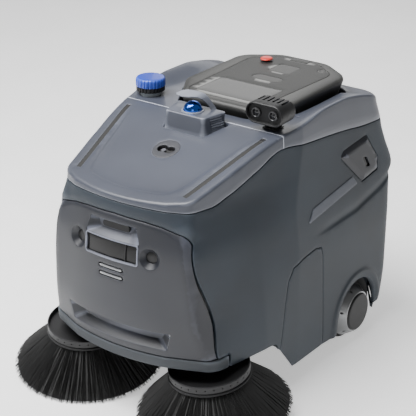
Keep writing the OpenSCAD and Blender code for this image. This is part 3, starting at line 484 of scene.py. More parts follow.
def arch_arc(r, first, last, step):
    """Points [y, z] round the axle."""
    return [(AXLE_Y + r * math.cos(a), TYRE_R + r * math.sin(a)) for a in np.radians(np.arange(first, last, step))]


arch = [(AXLE_Y + ARCH_R, 60), (AXLE_Y + ARCH_R, TYRE_R)] + arch_arc(ARCH_R, 6, 180, 6)
arch += [(AXLE_Y - ARCH_R, TYRE_R), (AXLE_Y - ARCH_R, 58)]
low = sheet_from(dense(rear_side, 8, False), "rear")
low += sheet_from(dense([(400, 76)] + arch + [(171, 58), (127, 62)] + door_outline(GAP)
                        + [(-150, 180), (-186, 186), (-332, 186), (-332, 224)], 8, False), "side")
low += sheet_from(dense(cover_outline(GAP), 8, False), "front")
outline = low + [(-u, z) for u, z in low[-2::-1]]
edge_top = top_edge(-GAP / 2)
body_loop = edge_top + outline[1:-1]
body_loop = [p for i, p in enumerate(body_loop) if math.dist(p, body_loop[i - 1]) > 0.4]
print("outline points:", len(body_loop))

# %% [markdown]
# Relief on the moulding: a lip rises round each wheel arch, a soft groove runs along the crease of the flank, and
# the edge round the front cover is chamfered. They are heights over the face. Each side pod gets an opening.

# %% Relief of the flanks
def step_up(x, a, b):
    t = np.clip((x - a) / (b - a), 0, 1)
    return t * t * (3 - 2 * t)


def away(points, line):
    """Distance of [y, z] points from a polyline, signed: positive above or behind it."""
    best, sign = np.full(len(points), 1e9), np.ones(len(points))
    for a, b in zip(line, line[1:]):
        a, b = np.array(a, float), np.array(b, float)
        t = np.clip(((points - a) @ (b - a)) / ((b - a) @ (b - a)), 0, 1)
        gap = points - (a + t[:, None] * (b - a))
        d = np.linalg.norm(gap, axis=1)
        side = np.sign((b - a)[0] * gap[:, 1] - (b - a)[1] * gap[:, 0])
        near = d < best
        best[near], sign[near] = d[near], side[near]
    return best * sign


CREASE = [(-40, 425), (20, 441), (124, 436), (280, 438), (431, 462), (520, 492)]


def flank_relief(p):
    yz = p[:, 1:]
    rho = np.hypot(yz[:, 0] - AXLE_Y, yz[:, 1] - TYRE_R)
    low = yz[:, 1] < TYRE_R
    rho = np.where(low, np.abs(yz[:, 0] - AXLE_Y), rho)
    lip = 5.0 * step_up(rho, ARCH_R + 34, ARCH_R + 24) - 4.0 * step_up(rho, ARCH_R + 22, ARCH_R - 2)
    lip *= step_up(yz[:, 0], 128, 176)
    over = away(yz, CREASE)
    fade = step_up(yz[:, 0], 20, 160)
    groove = -4.0 * fade * step_up(over, 34, 8) * step_up(over, -3, 5)
    side = step_up(np.abs(p[:, 0]), 230, 262)
    xz = np.stack([np.abs(p[:, 0]), p[:, 2]], 1)
    near = np.where(p[:, 1] < -250, np.abs(away(xz, cover_outline(GAP))), 99)
    chamfer = -4.0 * np.clip(1 - near / 9, 0, 1)
    return (lip + groove) * side + chamfer


def clipped(lines, loops):
    """Only the points of the lines that lie inside the outline."""
    return [np.array(m)[inside(np.array(m), loops)] for m in lines]


ring_marks = [arch_arc(ARCH_R + out, 3, 178, 4) for out in (5, 11, 17, 23, 27, 31, 36)]
crease_marks = [[(y, z + d) for y, z in dense(CREASE, 8, False)] for d in (-4, 0, 5, 12, 20, 28, 36)]
marks = []
for line in ring_marks + crease_marks:
    flat = sheet_from(line, "side")
    marks += [flat, [(-u, z) for u, z in flat]]
pod_hole = rounded([(228, 642), (363, 652), (420, 570), (413, 528), (320, 518), (210, 625)], 8)
pod_loop = sheet_from(dense(pod_hole, 7), "side")
pods = [pod_loop, [(-u, z) for u, z in pod_loop]]
body_loops = [body_loop] + pods
body_moulding = panel("body_moulding", body_loops, on_sheet(flank_relief), SIDE, step=11, wall=11,
                      marks=clipped(marks, body_loops))
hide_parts("body_shell_left", "body_shell_right")


# %% [markdown]
# ## Front cover
# A separate satin moulding with a broad chamfer down both sides and a narrower one on top. It holds the scanner
# window, a sloped bay with a second lens, two countersunk distance sensors, two pill slots and a grip tray.
# Holes are loops in the outline; the recesses behind them are short funnels that join loops.

# %% Chamfer of the cover and of the moulding round it
def front_gap(p, line):
    xz = np.stack([np.abs(p[:, 0]), p[:, 2]], 1)
    return np.abs(away(xz, line))


COVER_EDGE = cover_outline(0)


def cover_relief(p):
    d = front_gap(p, COVER_EDGE)
    wide = 8 + 10 * step_up(np.abs(p[:, 0]), 150, 215)
    return -np.clip(1 - d / wide, 0, 1) * (2.5 + 3.5 * step_up(np.abs(p[:, 0]), 150, 215))


def both_sides(loop):
    """A half outline that ends on the centre plane, closed with its mirror image."""
    return loop + [(-x, z) for x, z in loop[-2::-1]]


def inner_line(width):
    """The cover's chamfer line: the edge moved inwards, further at the sides than on top."""
    edge = dense(COVER_EDGE, 8, False)
    p = np.array(edge)
    t = np.gradient(p, axis=0)
    t /= np.linalg.norm(t, axis=1, keepdims=True)
    side = 0.44 + 0.56 * step_up(p[:, 0], 150, 215)
    q = p + np.stack([-t[:, 1], t[:, 0]], 1) * (width * side)[:, None]
    return [tuple(v) for v in q if v[0] > 0]


def pill(cx, cz, half, r, n=10):
    turn = np.linspace(-math.pi / 2, math.pi / 2, n)
    right = [(cx + half - r + r * math.cos(a), cz + r * math.sin(a)) for a in turn]
    return right + [(2 * cx - x, 2 * cz - z) for x, z in right]


def ring(cx, cz, r, n=40):
    turn = np.linspace(0, 2 * math.pi, n, endpoint=False)
    return [(cx + r * math.cos(a), cz + r * math.sin(a)) for a in turn]


EYE_X, EYE_Z = 124, 516
SLOT_Z = (438, 462)
bay_out = rounded([(-92, 547), (92, 547), (78, 593), (-78, 593)], 5)
tray_out = rounded([(-165, 246), (165, 246), (178, 298), (-178, 298)], 3)
window = rounded([(-85, 492), (85, 492), (85, 542), (-85, 542)], 3)
cover_holes = [window, bay_out, tray_out, ring(EYE_X, EYE_Z, 29), ring(-EYE_X, EYE_Z, 29),
               *[pill(0, z, 42, 7) for z in SLOT_Z]]


def front_flat(loop, step=7):
    return sheet_from(dense(loop, step), "front")


cover_loop = front_flat(both_sides(COVER_EDGE), 7)
cover_marks = [sheet_from(inner_line(w), "front") for w in (16.8, 19.2)]
cover_marks += [[(-u, z) for u, z in m] for m in cover_marks]
cover_flat = [front_flat(h, 6) for h in cover_holes]
cover_loops = [cover_loop] + cover_flat
front_cover = panel("front_cover_moulding", cover_loops, on_sheet(cover_relief), COVER, step=10,
                    marks=clipped(cover_marks, cover_loops), roll=1.8, wall=11)


# %% Funnels behind the holes
def funnel(name, rows, mat, body="machine", lay=None, cap=True, smooth=30):
    """Joins loops of [u, v] with equal counts; each row is (loop, depth). The last may be capped."""
    lay = lay or on_sheet(cover_relief)
    verts, faces, n = [], [], len(rows[0][0])
    for loop, d in rows:
        verts.append(lay(np.array(loop, float), np.full(n, float(d))))
    for k in range(len(rows) - 1):
        faces += [(k * n + i, k * n + (i + 1) % n, (k + 1) * n + (i + 1) % n, (k + 1) * n + i) for i in range(n)]
    if cap:
        faces.append(tuple(range((len(rows) - 1) * n, len(rows) * n)))
    piece = mesh_piece(name, np.concatenate(verts), faces, mat, body, smooth)
    mend(piece)
    return piece


def even(loop, n=64):
    """The closed loop with n points at even spacing, starting at its first point."""
    p = np.array(loop + loop[:1], float)
    s = np.concatenate([[0], np.cumsum(np.linalg.norm(np.diff(p, axis=0), axis=1))])
    q = np.stack([np.interp(np.linspace(0, s[-1], n, endpoint=False), s, p[:, k]) for k in (0, 1)], 1)
    return [tuple(v) for v in q]


def grown(loop, d):
    return [tuple(v) for v in offset(turned(loop), -d)]


def front_even(loop, n=64):
    return sheet_from(even(loop, n), "front")


def eye_rows(s, sizes):
    """Rings round a distance sensor on side s, from (radius, depth) pairs."""
    return [(front_flat(ring(s * EYE_X, EYE_Z, r), 99), d) for r, d in sizes]


for s, word in SIDES[::-1]:
    funnel("eye_cone_" + word, eye_rows(s, ((29.2, 1.2), (18, 13), (17, 14), (17, 19))), COVER, cap=False)
    funnel("eye_lens_" + word, eye_rows(s, ((17.5, 16), (15, 15), (10, 14), (3, 13.7))), BLACK)
bay_in = rounded([(-56, 566), (50, 566), (70, 590), (-70, 590)], 4)
narrow = [(x * 0.985, z) for x, z in bay_out]
rows = [(front_even(bay_out), 1.0), (front_even(narrow), 3), (front_even(bay_in), 22)]
funnel("scanner_bay", rows, COVER, smooth=20)
tray_in = rounded([(-136, 262), (140, 262), (162, 294), (-150, 294)], 3)
funnel("grip_tray", [(front_even(tray_out, 96), 1.0), (front_even(tray_in, 96), 26)], COVER, smooth=20)

# %% [markdown]
# The scanner window is dark acrylic in a raised frame. The pill slots hold bright bars, and the bay a lens.

# %% Window, bars and bay lens
def window_rows(sizes):
    """The window's outline grown by the first of each pair, at the depth given by the second."""
    return [(front_even(grown(window, g), 80), d) for g, d in sizes]


funnel("window_frame", window_rows(((6, 0.0), (5, -2.2), (1.5, -2.2), (-0.5, 3))), COVER, cap=False)
glass = funnel("window_glass", window_rows(((1, 4.0), (-2, 3.4))), GLOSS)
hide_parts("lidar_window")
funnel("window_post", [(front_flat([(48, 541), (50.5, 541), (50.5, 493), (48, 493)], 99), 3.2),
                       (front_flat([(48.4, 541), (50.1, 541), (50.1, 493), (48.4, 493)], 99), 1.2)], BLACK)
rows = [(front_even(pill(2, 580, 48, 9)), 21.5), (front_even(pill(2, 580, 47, 8)), 15.5)]
bay_lens = funnel("bay_lens", rows, BLACK)
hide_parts("front_sensors")
slot_metal = finish("satin_slot_bar", "#77787A", "#8E9092", 0.35, 1.0, 0.08, metallic=0.8, edge="#B5B6B8")
for k, z in enumerate(SLOT_Z):
    rows = [(front_even(pill(0, z, 42, 7)), 1.4), (front_even(pill(0, z, 41, 6)), 9)]
    funnel("slot_well_%d" % k, rows, BLACK)
    rows = [(front_even(pill(-1, z - 0.5, 38, r)), d) for r, d in ((4.6, 8.5), (4.6, 3.6), (3.6, 1.6), (2.0, 0.9))]
    bar = funnel("slot_bar_%d" % k, rows, slot_metal)
    if k == 0:
        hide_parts("slot_bars")
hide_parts("front_cover")
print("front cover done")

# %% [markdown]
# ## Bumper, service covers and rear door
# The bumper is a soft strip that wraps round the front under the cover. The service covers are
# cut from the same moulding as the body, so they share its relief and grain. The rear door closes the hopper.

# %% Bumper
def bumper_relief(p):
    return 3.0 + 0 * p[:, 2]


end = angle_at(205, y=-340) * UNROLL
bumper_loop = dense([(-end, 188), (end - 2, 188), (end, 192), (end, 221), (-end, 221)], 8)
bumper = panel("bumper_strip", [bumper_loop], on_sheet(bumper_relief), BUMPER, step=9, roll=4.5, wall=9)
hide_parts("front_bumper")

# %% Service covers
door = dense(door_outline(0) + [(-58, 66), (-40, 65.5)], 8)
door_flat = sheet_from(door, "side")
for s, word in SIDES:
    piece = panel("service_cover_" + word, [door_flat], on_sheet(flank_relief), SIDE, "cover_" + word, step=11,
                  mirror=s < 0, roll=2.0)
    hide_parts("side_door_" + word)

# %% Rear door
def rear_sheet(points):
    """Turns [x, z] of the rear face to a sheet that isn't cut at the rear centre."""
    out = []
    for x, z in points:
        t = angle_at(max(z, 50), x=abs(x), rear=True) if abs(x) > 1e-6 else math.pi
        out.append(((t if x > 0 else 2 * math.pi - t) * UNROLL, z))
    return out


rear_edge = [(-252, 500), (-264, 64), (264, 64), (252, 500)]
rear_flat = rear_sheet(dense(rounded(rear_edge, [14, 6, 6, 14]), 8))


def rear_relief(p):
    inner = np.maximum(np.abs(p[:, 0]) - 200, np.maximum(p[:, 2] - 440, 130 - p[:, 2]))
    grip = np.maximum(np.abs(p[:, 0]) - 90, np.abs(p[:, 2] - 400) - 16)
    return -3.0 * step_up(-inner, 0, 10) - 12 * step_up(-grip, 0, 10)


rear_marks = []
for g in (0, 4, 10):
    box = [(-200 + g, 440 - g), (-200 + g, 130 + g), (200 - g, 130 + g), (200 - g, 440 - g)]
    grip = [(-90 + g, 416 - g), (-90 + g, 384 + g), (90 - g, 384 + g), (90 - g, 416 - g)]
    rear_marks += [rear_sheet(dense(shape, 7)) for shape in (box, grip)]
rear_door = panel("hopper_door", [rear_flat], on_sheet(rear_relief), SIDE, "hopper_drawer", step=12,
                  marks=rear_marks, roll=2.0)
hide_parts("rear_door")

# %% [markdown]
# ## Decks
# Both decks are painted in a lighter metallic grey. Their top follows one line along the machine, with a
# shoulder on each side of the console, and rolls over into a band that reaches down to the seam. They are made
# as one cap and then cut on both sides of the ridge; a thin bead, cut from the same cap, fills the joint and is
# coloured bright as a painted highlight along the seam.

# %% Height of the deck
def top_z(x, y):
    x, y = np.abs(np.asarray(x, float)), np.asarray(y, float)
    base = np.where(y < RIDGE_Y, smooth_line(TOP_FRONT, y), smooth_line(TOP_REAR, y))
    crest = smooth_line(CREST, y)
    foot = np.minimum(765, crest - 12)
    shoulder = foot + (crest - foot) * step_up(x, 196, 300)
    shoulder = np.where(y < RIDGE_Y, base - 30, shoulder)
    k = 5.0
    h = np.clip(0.5 + 0.5 * (shoulder - base) / k, 0, 1)
    return base * (1 - h) + shoulder * h + k * h * (1 - h)


def deck_panel_edge(g):
    """The stepped panel of the front deck, shrunk by g."""
    return [(0, -417 + g), (78, -409 + g), (128, -396 + g), (146 - g, -380 + g), (156 - g, -358), (166 - g, -322),
            (185 - g, -240), (203 - g, -165), (212 - g, -110)]


def deck_relief(x, y):
    xy = np.stack([np.abs(x), y], 1)
    d = away(xy, deck_panel_edge(0))
    fade = step_up(-y, 60, 190)
    ramp = np.where(d > 0, step_up(d, 0, 3.5) * 0.55 + step_up(d, 3, 16) * 0.45, 0)
    front = -2.8 * ramp * fade
    return np.where(y < RIDGE_Y, front, 0)


def rolled_rim(t):
    """Points of the rim's roll for angle t, from the seam up to the top face."""
    z = 740.0
    for _ in range(12):
        p = on_body(t, z)
        z = float(top_z(p[0], p[1]))
    low = 700.0
    for _ in range(6):
        low = seam(float(on_body(t, low)[1]), GAP / 2)
    n = body_normal(t, z)
    n = np.array([n[0], n[1], 0]) / math.hypot(n[0], n[1])
    r = min(9.0 if on_body(t, z)[1] < RIDGE_Y - 20 else 7.0, 0.42 * (z - low))
    rows = [on_body(t, low) - 4 * n, on_body(t, low) - 1.6 * n, on_body(t, low + 0.6) - 0.5 * n]
    rows.append(on_body(t, low + 1.8))
    rows += [on_body(t, low + 1.8 + (z - r - low - 1.8) * f) for f in (0.35, 0.7, 1.0)]
    for a in np.radians([18, 36, 54, 72, 90]):
        q = on_body(t, z - r * (1 - math.sin(a))) - n * r * (1 - math.cos(a))
        q[2] = float(top_z(q[0], q[1])) - r * (1 - math.sin(a))
        rows.append(q)
    return rows


# %% The cap: rim rows and the filled top
turns = np.linspace(-math.pi, math.pi, 520, endpoint=False)
rim_rows = np.array([rolled_rim(float(t)) for t in turns])
count, rows_n = rim_rows.shape[:2]
top_loop = [tuple(p[:2]) for p in rim_rows[:, -1]]


def mirrored_hull(discs, n=40):
    """Tight outline round discs (x, y, r) and their mirror images."""
    points = [(s * x + r * math.cos(a), y + r * math.sin(a)) for x, y, r in discs for s in (1, -1)
              for a in np.linspace(0, 2 * math.pi, n, endpoint=False)]
    points = sorted(set((round(x, 4), round(y, 4)) for x, y in points))
    half = []
    for run in (points, points[::-1]):
        chain = []
        for p in run:
            while len(chain) > 1 and ((chain[-1][0] - chain[-2][0]) * (p[1] - chain[-2][1])
                                      - (chain[-1][1] - chain[-2][1]) * (p[0] - chain[-2][0])) <= 0:
                chain.pop()
            chain.append(p)
        half += chain[:-1]
    return half


def console_loop(g):
    return mirrored_hull([(100, 42, 40 + g), (143, 135, 50 + g), (118, 370, 76 + g), (60, 405, 80 + g)])


def strip_loop(s, g):
    a, b = np.array([183, -386]), np.array([237, -98])
    d = (b - a) / np.linalg.norm(b - a)
    n = np.array([-d[1], d[0]])
    wide = 8.6 + g
    a, b = a - d * (4 + g), b + d * (4 + g)
    q = [a + n * wide, a - n * wide, b - n * wide, b + n * wide]
    return rounded([(s * v[0], v[1]) for v in q], 2.5, 3)


SOCKET_AT, FILLER_AT = (3, -232), (-237, 6)
turret_hole = mirrored_hull([(88, -78, 16), (62, -142, 14)], 24)
holes = [dense(console_loop(12), 6), dense(turret_hole, 6)] + [dense(strip_loop(s, 0.5), 8) for s in (1, -1)]
holes += [ring(*SOCKET_AT, 40.5, 48), ring(*FILLER_AT, 33, 40), pill(223, 96, 12, 4.5, 6)]
edge_lines = [dense(deck_panel_edge(g), 7, False) for g in (0, 1.6, 3.4, 8, 15)]
edge_lines += [[(-x, y) for x, y in l if x > 1] for l in edge_lines]
edge_lines += [[(x, RIDGE_Y + d) for x in np.arange(-290, 291, 9.0)] for d in (-6, -3, 3, 6)]
loops = [top_loop] + holes
uv, deep, tri, loops = net(loops, 11, clipped(edge_lines, loops), roll=0.0)


def deck_point(x, y, d=0.0):
    x, y = np.asarray(x, float), np.asarray(y, float)
    return np.stack([x, y, top_z(x, y) + deck_relief(x, y) - d], -1)


verts = [deck_point(uv[:, 0], uv[:, 1])]
faces = [tuple(f) for f in tri]
base = len(uv)
verts.append(rim_rows.reshape(-1, 3))
for i in range(count):
    j = (i + 1) % count
    faces += [(base + i * rows_n + k, base + j * rows_n + k, base + j * rows_n + k + 1, base + i * rows_n + k + 1)
              for k in range(rows_n - 1)]
base += count * rows_n
for loop in loops[1:]:
    p = np.array(loop, float)
    n = len(p)
    steps = [(0.0, 0.0), (0.9, 0.35), (1.5, 1.3), (1.7, 6.0)]
    if n > 55:
        steps = [(0, 0), (1.5, 0.5), (3.2, 2), (4.2, 5), (4.4, 30)]
    for k, (shrink, d) in enumerate(steps):
        q = offset(p, -shrink) if shrink else p
        verts.append(deck_point(q[:, 0], q[:, 1], d))
        if k:
            a = base + (k - 1) * n
            faces += [(a + i, a + n + i, a + n + (i + 1) % n, a + (i + 1) % n) for i in range(n)]
    base += n * len(steps)
cap = mesh_piece("deck_cap", np.concatenate(verts), faces, DECK, smooth=35)
mend(cap, 3e-5)
print("deck cap faces:", len(cap.data.polygons))


# %% Cut the cap at the ridge
def cut_at(piece, y, keep_front):
    only(piece)
    bpy.ops.object.mode_set(mode="EDIT")
    bpy.ops.mesh.select_all(action="SELECT")
    bpy.ops.mesh.bisect(plane_co=(0, y * MM, 0), plane_no=(0, 1, 0), clear_outer=keep_front,
                        clear_inner=not keep_front)
    way = 1 if keep_front else -1
    for step in ((0, 0.0006 * way, -0.0006), (0, 0.0003 * way, -0.006)):
        bpy.ops.mesh.extrude_edges_move(TRANSFORM_OT_translate={"value": step})
    bpy.ops.mesh.select_all(action="DESELECT")
    bpy.ops.object.mode_set(mode="OBJECT")


def copy_of(piece):
    twin = piece.copy()
    twin.data = piece.data.copy()
    bpy.context.collection.objects.link(twin)
    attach(twin, "machine")
    return twin


RIDGE_CUT = 1.7      # each deck ends this far from the ridge line
rear_cap, bead = copy_of(cap), copy_of(cap)
cap.name, rear_cap.name, bead.name = "front_deck", "rear_deck_shoulders", "ridge_bead"
cut_at(cap, RIDGE_Y - RIDGE_CUT, True)
cut_at(rear_cap, RIDGE_Y + RIDGE_CUT, False)
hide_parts("top_deck")
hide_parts("rear_deck")
# The bead between the two cuts takes a bright colour: a painted highlight along the seam at the ridge.
SEAM_HIGHLIGHT = finish("painted_seam_highlight", "#A9AEBB", "#C9CDD8", 0.3, 1.0, 0.05, coat=0.2)
bpy.context.view_layer.update()
only(bead)
bpy.ops.object.mode_set(mode="EDIT")
for y, front in ((RIDGE_Y + RIDGE_CUT, True), (RIDGE_Y - RIDGE_CUT, False)):
    bpy.ops.mesh.select_all(action="SELECT")
    bpy.ops.mesh.bisect(plane_co=(0, y * MM, 0), plane_no=(0, 1, 0), clear_outer=front, clear_inner=not front)
bpy.ops.mesh.select_all(action="SELECT")
bpy.ops.transform.translate(value=(0, 0, -0.0003))
bpy.ops.object.mode_set(mode="OBJECT")
bead.data.materials[0] = SEAM_HIGHLIGHT

# %% [markdown]
# ## Turned and stacked pieces
# Round fittings are a profile of (radius, height) spun with the Screw modifier. Other blocks are loops stacked at
# different heights; both carry their small edge radii in the profile. Boxes start from the cube primitive and get
# a small Bevel, so that their edges catch light.

# %% Helpers for fittings
def place(x=0, y=0, z=0, rx=0, ry=0, rz=0):
    """Millimetres and degrees; the turn is about X, then Y, then Z."""
    return (Matrix.Translation(Vector((x, y, z)) * MM) @ Matrix.Rotation(math.radians(rz), 4, "Z")
            @ Matrix.Rotation(math.radians(ry), 4, "Y") @ Matrix.Rotation(math.radians(rx), 4, "X"))


def modifier(piece, kind, **settings):
    only(piece)
    m = piece.modifiers.new(kind.title(), kind)
    for key, value in settings.items():
        setattr(m, key, value)
    bpy.ops.object.modifier_apply(modifier=m.name)


def lathe(name, profile, mat, body="machine", at=None, steps=96, smooth=30):
    verts = [(r, 0, h) for r, h in profile]
    mesh = bpy.data.meshes.new(name)
    mesh.from_pydata([tuple(v) for v in np.array(verts) * MM], [(i, i + 1) for i in range(len(verts) - 1)], [])
    piece = bpy.data.objects.new(name, mesh)
    bpy.context.collection.objects.link(piece)
    mesh.materials.append(mat)
    modifier(piece, "SCREW", steps=steps, render_steps=steps, use_merge_vertices=True, merge_threshold=1e-6)
    mend(piece, 1e-6)
    if at is not None:
        piece.data.transform(at)
    shade(piece, smooth)
    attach(piece, body)
    return piece


def stack(name, rows, mat, body="machine", caps=(True, True), at=None, smooth=30, upright=False):
    """Loops of equal count at heights; upright loops are (x, z) with y as their height."""
    n = len(rows[0][0])
    verts, faces = [], []
    for loop, h in rows:
        verts += [(x, h, y) if upright else (x, y, h) for x, y in loop]
    for k in range(len(rows) - 1):
        faces += [(k * n + i, k * n + (i + 1) % n, (k + 1) * n + (i + 1) % n, (k + 1) * n + i) for i in range(n)]
    if caps[0]:
        faces.append(tuple(range(n))[::-1])
    if caps[1]:
        faces.append(tuple(range((len(rows) - 1) * n, len(rows) * n)))
    piece = mesh_piece(name, verts, faces, mat, body, smooth)
    mend(piece, 1e-6)
    if at is not None:
        piece.data.transform(at)
    shade(piece, smooth)
    return piece


def block(name, size, mat, body="machine", at=None, bevel=1.0):
    """A box of size (x, y, z) mm with its corners broken, from the cube primitive."""
    bpy.ops.mesh.primitive_cube_add(size=1)
    piece = bpy.context.object
    piece.name = name
    piece.data.transform(Matrix.Diagonal((size[0] * MM, size[1] * MM, size[2] * MM, 1)))
    piece.data.materials.append(mat)
    modifier(piece, "BEVEL", width=bevel * MM, segments=2)
    if at is not None:
        piece.data.transform(at)
    shade(piece, 30)
    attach(piece, body)
    return piece


def cut(piece, tools):
    for tool in tools:
        modifier(piece, "BOOLEAN", operation="DIFFERENCE", object=tool, solver="EXACT")
        bpy.data.objects.remove(tool)


def join(first, others):
    only(first)
    for o in others:
        o.select_set(True)
    bpy.ops.object.join()
    return first


# %% [markdown]
# ## Console
# The operator's console is a thick rounded slab let into a pocket of the rear deck. A narrow groove parts its rim
# from the lid panel. The lid carries a flush screen, two key pads, a power button and the emergency stop.

# %% Console housing and lid
def lid_loop(g):
    return mirrored_hull([(98, 70, 36 + g), (92, 370, 55 + g), (50, 396, 60 + g)])


shell_rows = [(-15, 740), (-9, 762), (-3, 778), (0, 787), (-0.5, 792), (-2.4, 796.4), (-6, 799), (-12, 800)]
rows = [(even(console_loop(g), 200), z) for g, z in shell_rows]
rows += [(even(lid_loop(g), 200), z) for g, z in ((2.6, 800), (1.6, 799.3), (1.4, 794))]
housing = stack("console_rim", rows, CONSOLE, caps=(True, False), smooth=40)
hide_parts("console_housing")
STOP_AT, BUTTON_AT, LID_Z = (-87, 397), (107, 412), 799.6
screen_edge = rounded([(-109, 56), (109, 56), (109, 190), (-109, 190)], 4)
key_bar = pill(8, 258, 51, 22)
key_pad = rounded([(-35, 322), (41, 322), (41, 398), (-35, 398)], 14)
lid_holes = [dense(screen_edge, 9), dense(key_bar, 5), dense(key_pad, 6), ring(*STOP_AT, 13), ring(*BUTTON_AT, 15)]


def level(z):
    def lay(uv, depth):
        return np.stack([uv[:, 0], uv[:, 1], z - depth], 1)
    return lay


lid = panel("console_lid", [dense(lid_loop(0), 7)] + lid_holes, level(LID_Z), CONSOLE, step=18, roll=0.5, wall=5)
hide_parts("console_panel")
PAD = finish("soft_touch_key_pad", "#333332", "#3A3A39", 0.45, 1.2, 0.12)
screen = panel("display_glass", [dense(offset(screen_edge, 0.6).tolist(), 9)], level(LID_Z - 0.05), SCREEN,
               step=20, roll=0.35, wall=3)
for name, loop, step in (("key_bar", key_bar, 5), ("key_pad", key_pad, 6)):
    panel(name, [dense(offset(loop, 0.4).tolist(), step)], level(LID_Z - 0.5), PAD, step=12, roll=0.4, wall=3)
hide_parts("touch_screen")


def latch_loop(x, y0, y1):
    return rounded([(-x, y0), (x, y0), (x, y1), (-x, y1)], 3)


latch_rows = [(latch_loop(30 - g, 444 + g, 466 - g), z) for g, z in ((0, 797), (0, 800.3), (0.8, 800.9))]
stack("lid_latch", latch_rows, PAD)
stack("latch_groove", [(latch_loop(31.5, 442, 467), z) for z in (797, 800.15)], BLACK)

# %% Buttons
knob_profile = [(0, 0), (5.8, 0), (5.8, 12.7), (17.6, 12.7), (18.7, 13.1), (19, 14.6), (18.2, 16.8), (15.8, 18.5),
                (11, 19.7), (5, 20.3), (0, 20.5)]
stop = lathe("emergency_stop", knob_profile, RED, "stop_knob", place(*STOP_AT, 792), steps=64)
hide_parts("stop_button")
collar_profile = [(7, -8), (12.5, -8), (12.5, 7.7), (18.6, 7.8), (18.8, 8.3), (18.2, 8.6), (7, 8.6), (7, -8)]
collar = lathe("stop_collar", collar_profile, BLACK, at=place(*STOP_AT, 792), steps=64)
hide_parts("stop_base")
key_profile = [(0, -4), (13.9, -4), (13.9, 7.2), (13.4, 7.7), (10.5, 7.9), (9.8, 7.4), (9.2, 7.9), (0, 8.1)]
key = lathe("power_key", key_profile, CONSOLE, "power_key", place(*BUTTON_AT, 791.6), steps=64)
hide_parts("power_button")
print("console pieces made")

# %% [markdown]
# ## Beacon turret, stereo camera, filler cap and deck fittings
# The beacon is a blue mirror dome in a collar on a block with louvres, with a bent strap over it. The camera is an
# oval tube with two lenses and slanted cooling fins. Louvres and fins are real cuts.

# %% Turret
def turret_loop(bottom):
    d = [(84, -82, 12), (62, -138, 12)] if bottom else [(74, -66, 9), (58, -136, 9)]
    return np.array(even(mirrored_hull(d, 48), 96))


DOME_AT, DOME_R = (0, -104, 803), 26.8
low_t, up_t = turret_loop(True), turret_loop(False)
rows = [(low_t * (1 - f) + up_t * f, 740 + 63 * f) for f in (0, 0.35, 0.7, 0.93)]
rows += [(offset(up_t.tolist(), g) if g else up_t, z) for g, z in ((0.5, 801), (1.8, 802.4), (4, 803))]
turret = stack("beacon_block", rows, DECK, smooth=35)
spots = [place(88 - i * 0.9, -101, 769 + i * 6.3, rz=-17) for i in range(5)]
cut(turret, [block("louvre_%d" % i, (17, 50, 2.9), BLACK, at=at, bevel=0.3) for i, at in enumerate(spots)])
shade(turret, 35)
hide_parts("turret_housing")
lathe("beacon_collar", [(26, -2), (33, -2), (33, 1.2), (32, 2.6), (29.5, 3.2), (27.4, 2.6), (27, 0)], DECK,
      at=place(*DOME_AT), steps=72)
MIRROR = finish("blue_chrome_dome", "#2F63D8", "#4E8CF2", 0.08, 6.0, 0.0, metallic=1.0, speckle=0.0)
arc = [(DOME_R * math.cos(a), 1 + DOME_R * math.sin(a)) for a in np.radians(np.linspace(0, 90, 20))]
dome = lathe("beacon_dome", [(0, -6), (DOME_R, -6)] + arc, MIRROR, at=place(*DOME_AT), steps=72)
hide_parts("turret_dome")


# %% Strap over the dome
def strap_piece():
    way = [(46, -75, -53, 802), (43, -76, -56, 809), (36, -84, -62, 823), (28, -96, -68, 838),
           (22, -108, -72, 846), (14, -120, -75, 850), (4, -130, -77, 851.5), (-16, -136, -78, 851.8), (-34, -134, -84, 851.8),
           (-42, -124, -96, 851.8)]
    verts, faces, n = [], [], len(way)
    for i, (x, y0, y1, z) in enumerate(way):
        a, b = way[max(i - 1, 0)], way[min(i + 1, n - 1)]
        t = np.array([b[0] - a[0], b[3] - a[3]], float)
        t /= np.linalg.norm(t)
        nx, nz = -t[1] * 3.2, t[0] * 3.2
        verts += [(x, y0, z), (x, y1, z), (x + nx, y1, z + nz), (x + nx, y0, z + nz)]
    for i in range(n - 1):
        faces += [(4 * i + k, 4 * i + (k + 1) % 4, 4 * i + 4 + (k + 1) % 4, 4 * i + 4 + k) for k in range(4)]
    faces += [(3, 2, 1, 0), tuple(range(4 * n - 4, 4 * n))]
    piece = mesh_piece("beacon_strap", verts, faces, DECK)
    mend(piece, 1e-6)
    modifier(piece, "BEVEL", width=0.8 * MM, segments=2, limit_method="ANGLE", angle_limit=math.radians(40))
    shade(piece, 30)
    return piece


strap = strap_piece()
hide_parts("turret_strap")

# %% Stereo camera
CAM_X, CAM_Z = 216, 826


def cam_loop(g):
    return even(pill(CAM_X, CAM_Z, 61 + g, 31 + g, 24), 96)


tube_steps = ((-5, -0.3), (-1.5, -1.5), (0, -5), (0, -67), (-0.6, -70), (-2.4, -71.8), (-4.2, -71.4), (-5.4, -69),
              (-6.4, -62))
rows = [(cam_loop(g), y) for g, y in tube_steps]
camera_tube = stack("camera_tube", rows, BLACK, upright=True, smooth=35)
spots = [place(CAM_X - 36 + i * 15.5, -22, CAM_Z + 30, ry=24) for i in range(6)]
cut(camera_tube, [block("fin_cut_%d" % i, (5.5, 46, 34), BLACK, at=at, bevel=0.3) for i, at in enumerate(spots)])
shade(camera_tube, 35)
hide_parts("stereo_camera")
LENS = finish("coated_lens_glass", "#0A0B0F", "#12141A", 0.06, 3.0, 0.0, coat=0.6, speckle=0.0)
RING = finish("anodised_lens_ring", "#1A1A1B", "#2A2A2C", 0.3, 1.0, 0.05, metallic=0.6, edge="#6A6A6C")
ring_profile = [(8, 1), (13.5, 1), (14, 3), (13.4, 6.6), (11.6, 7.4), (10.4, 6.4), (9.6, 3.6), (8, 3.4)]
bulge = np.radians(np.linspace(90, 0, 8))
lens_profile = [(0, 2)] + [(10 * math.sin(a), 3.0 + 3.2 * (math.cos(a) - 0.5) * 2) for a in bulge]
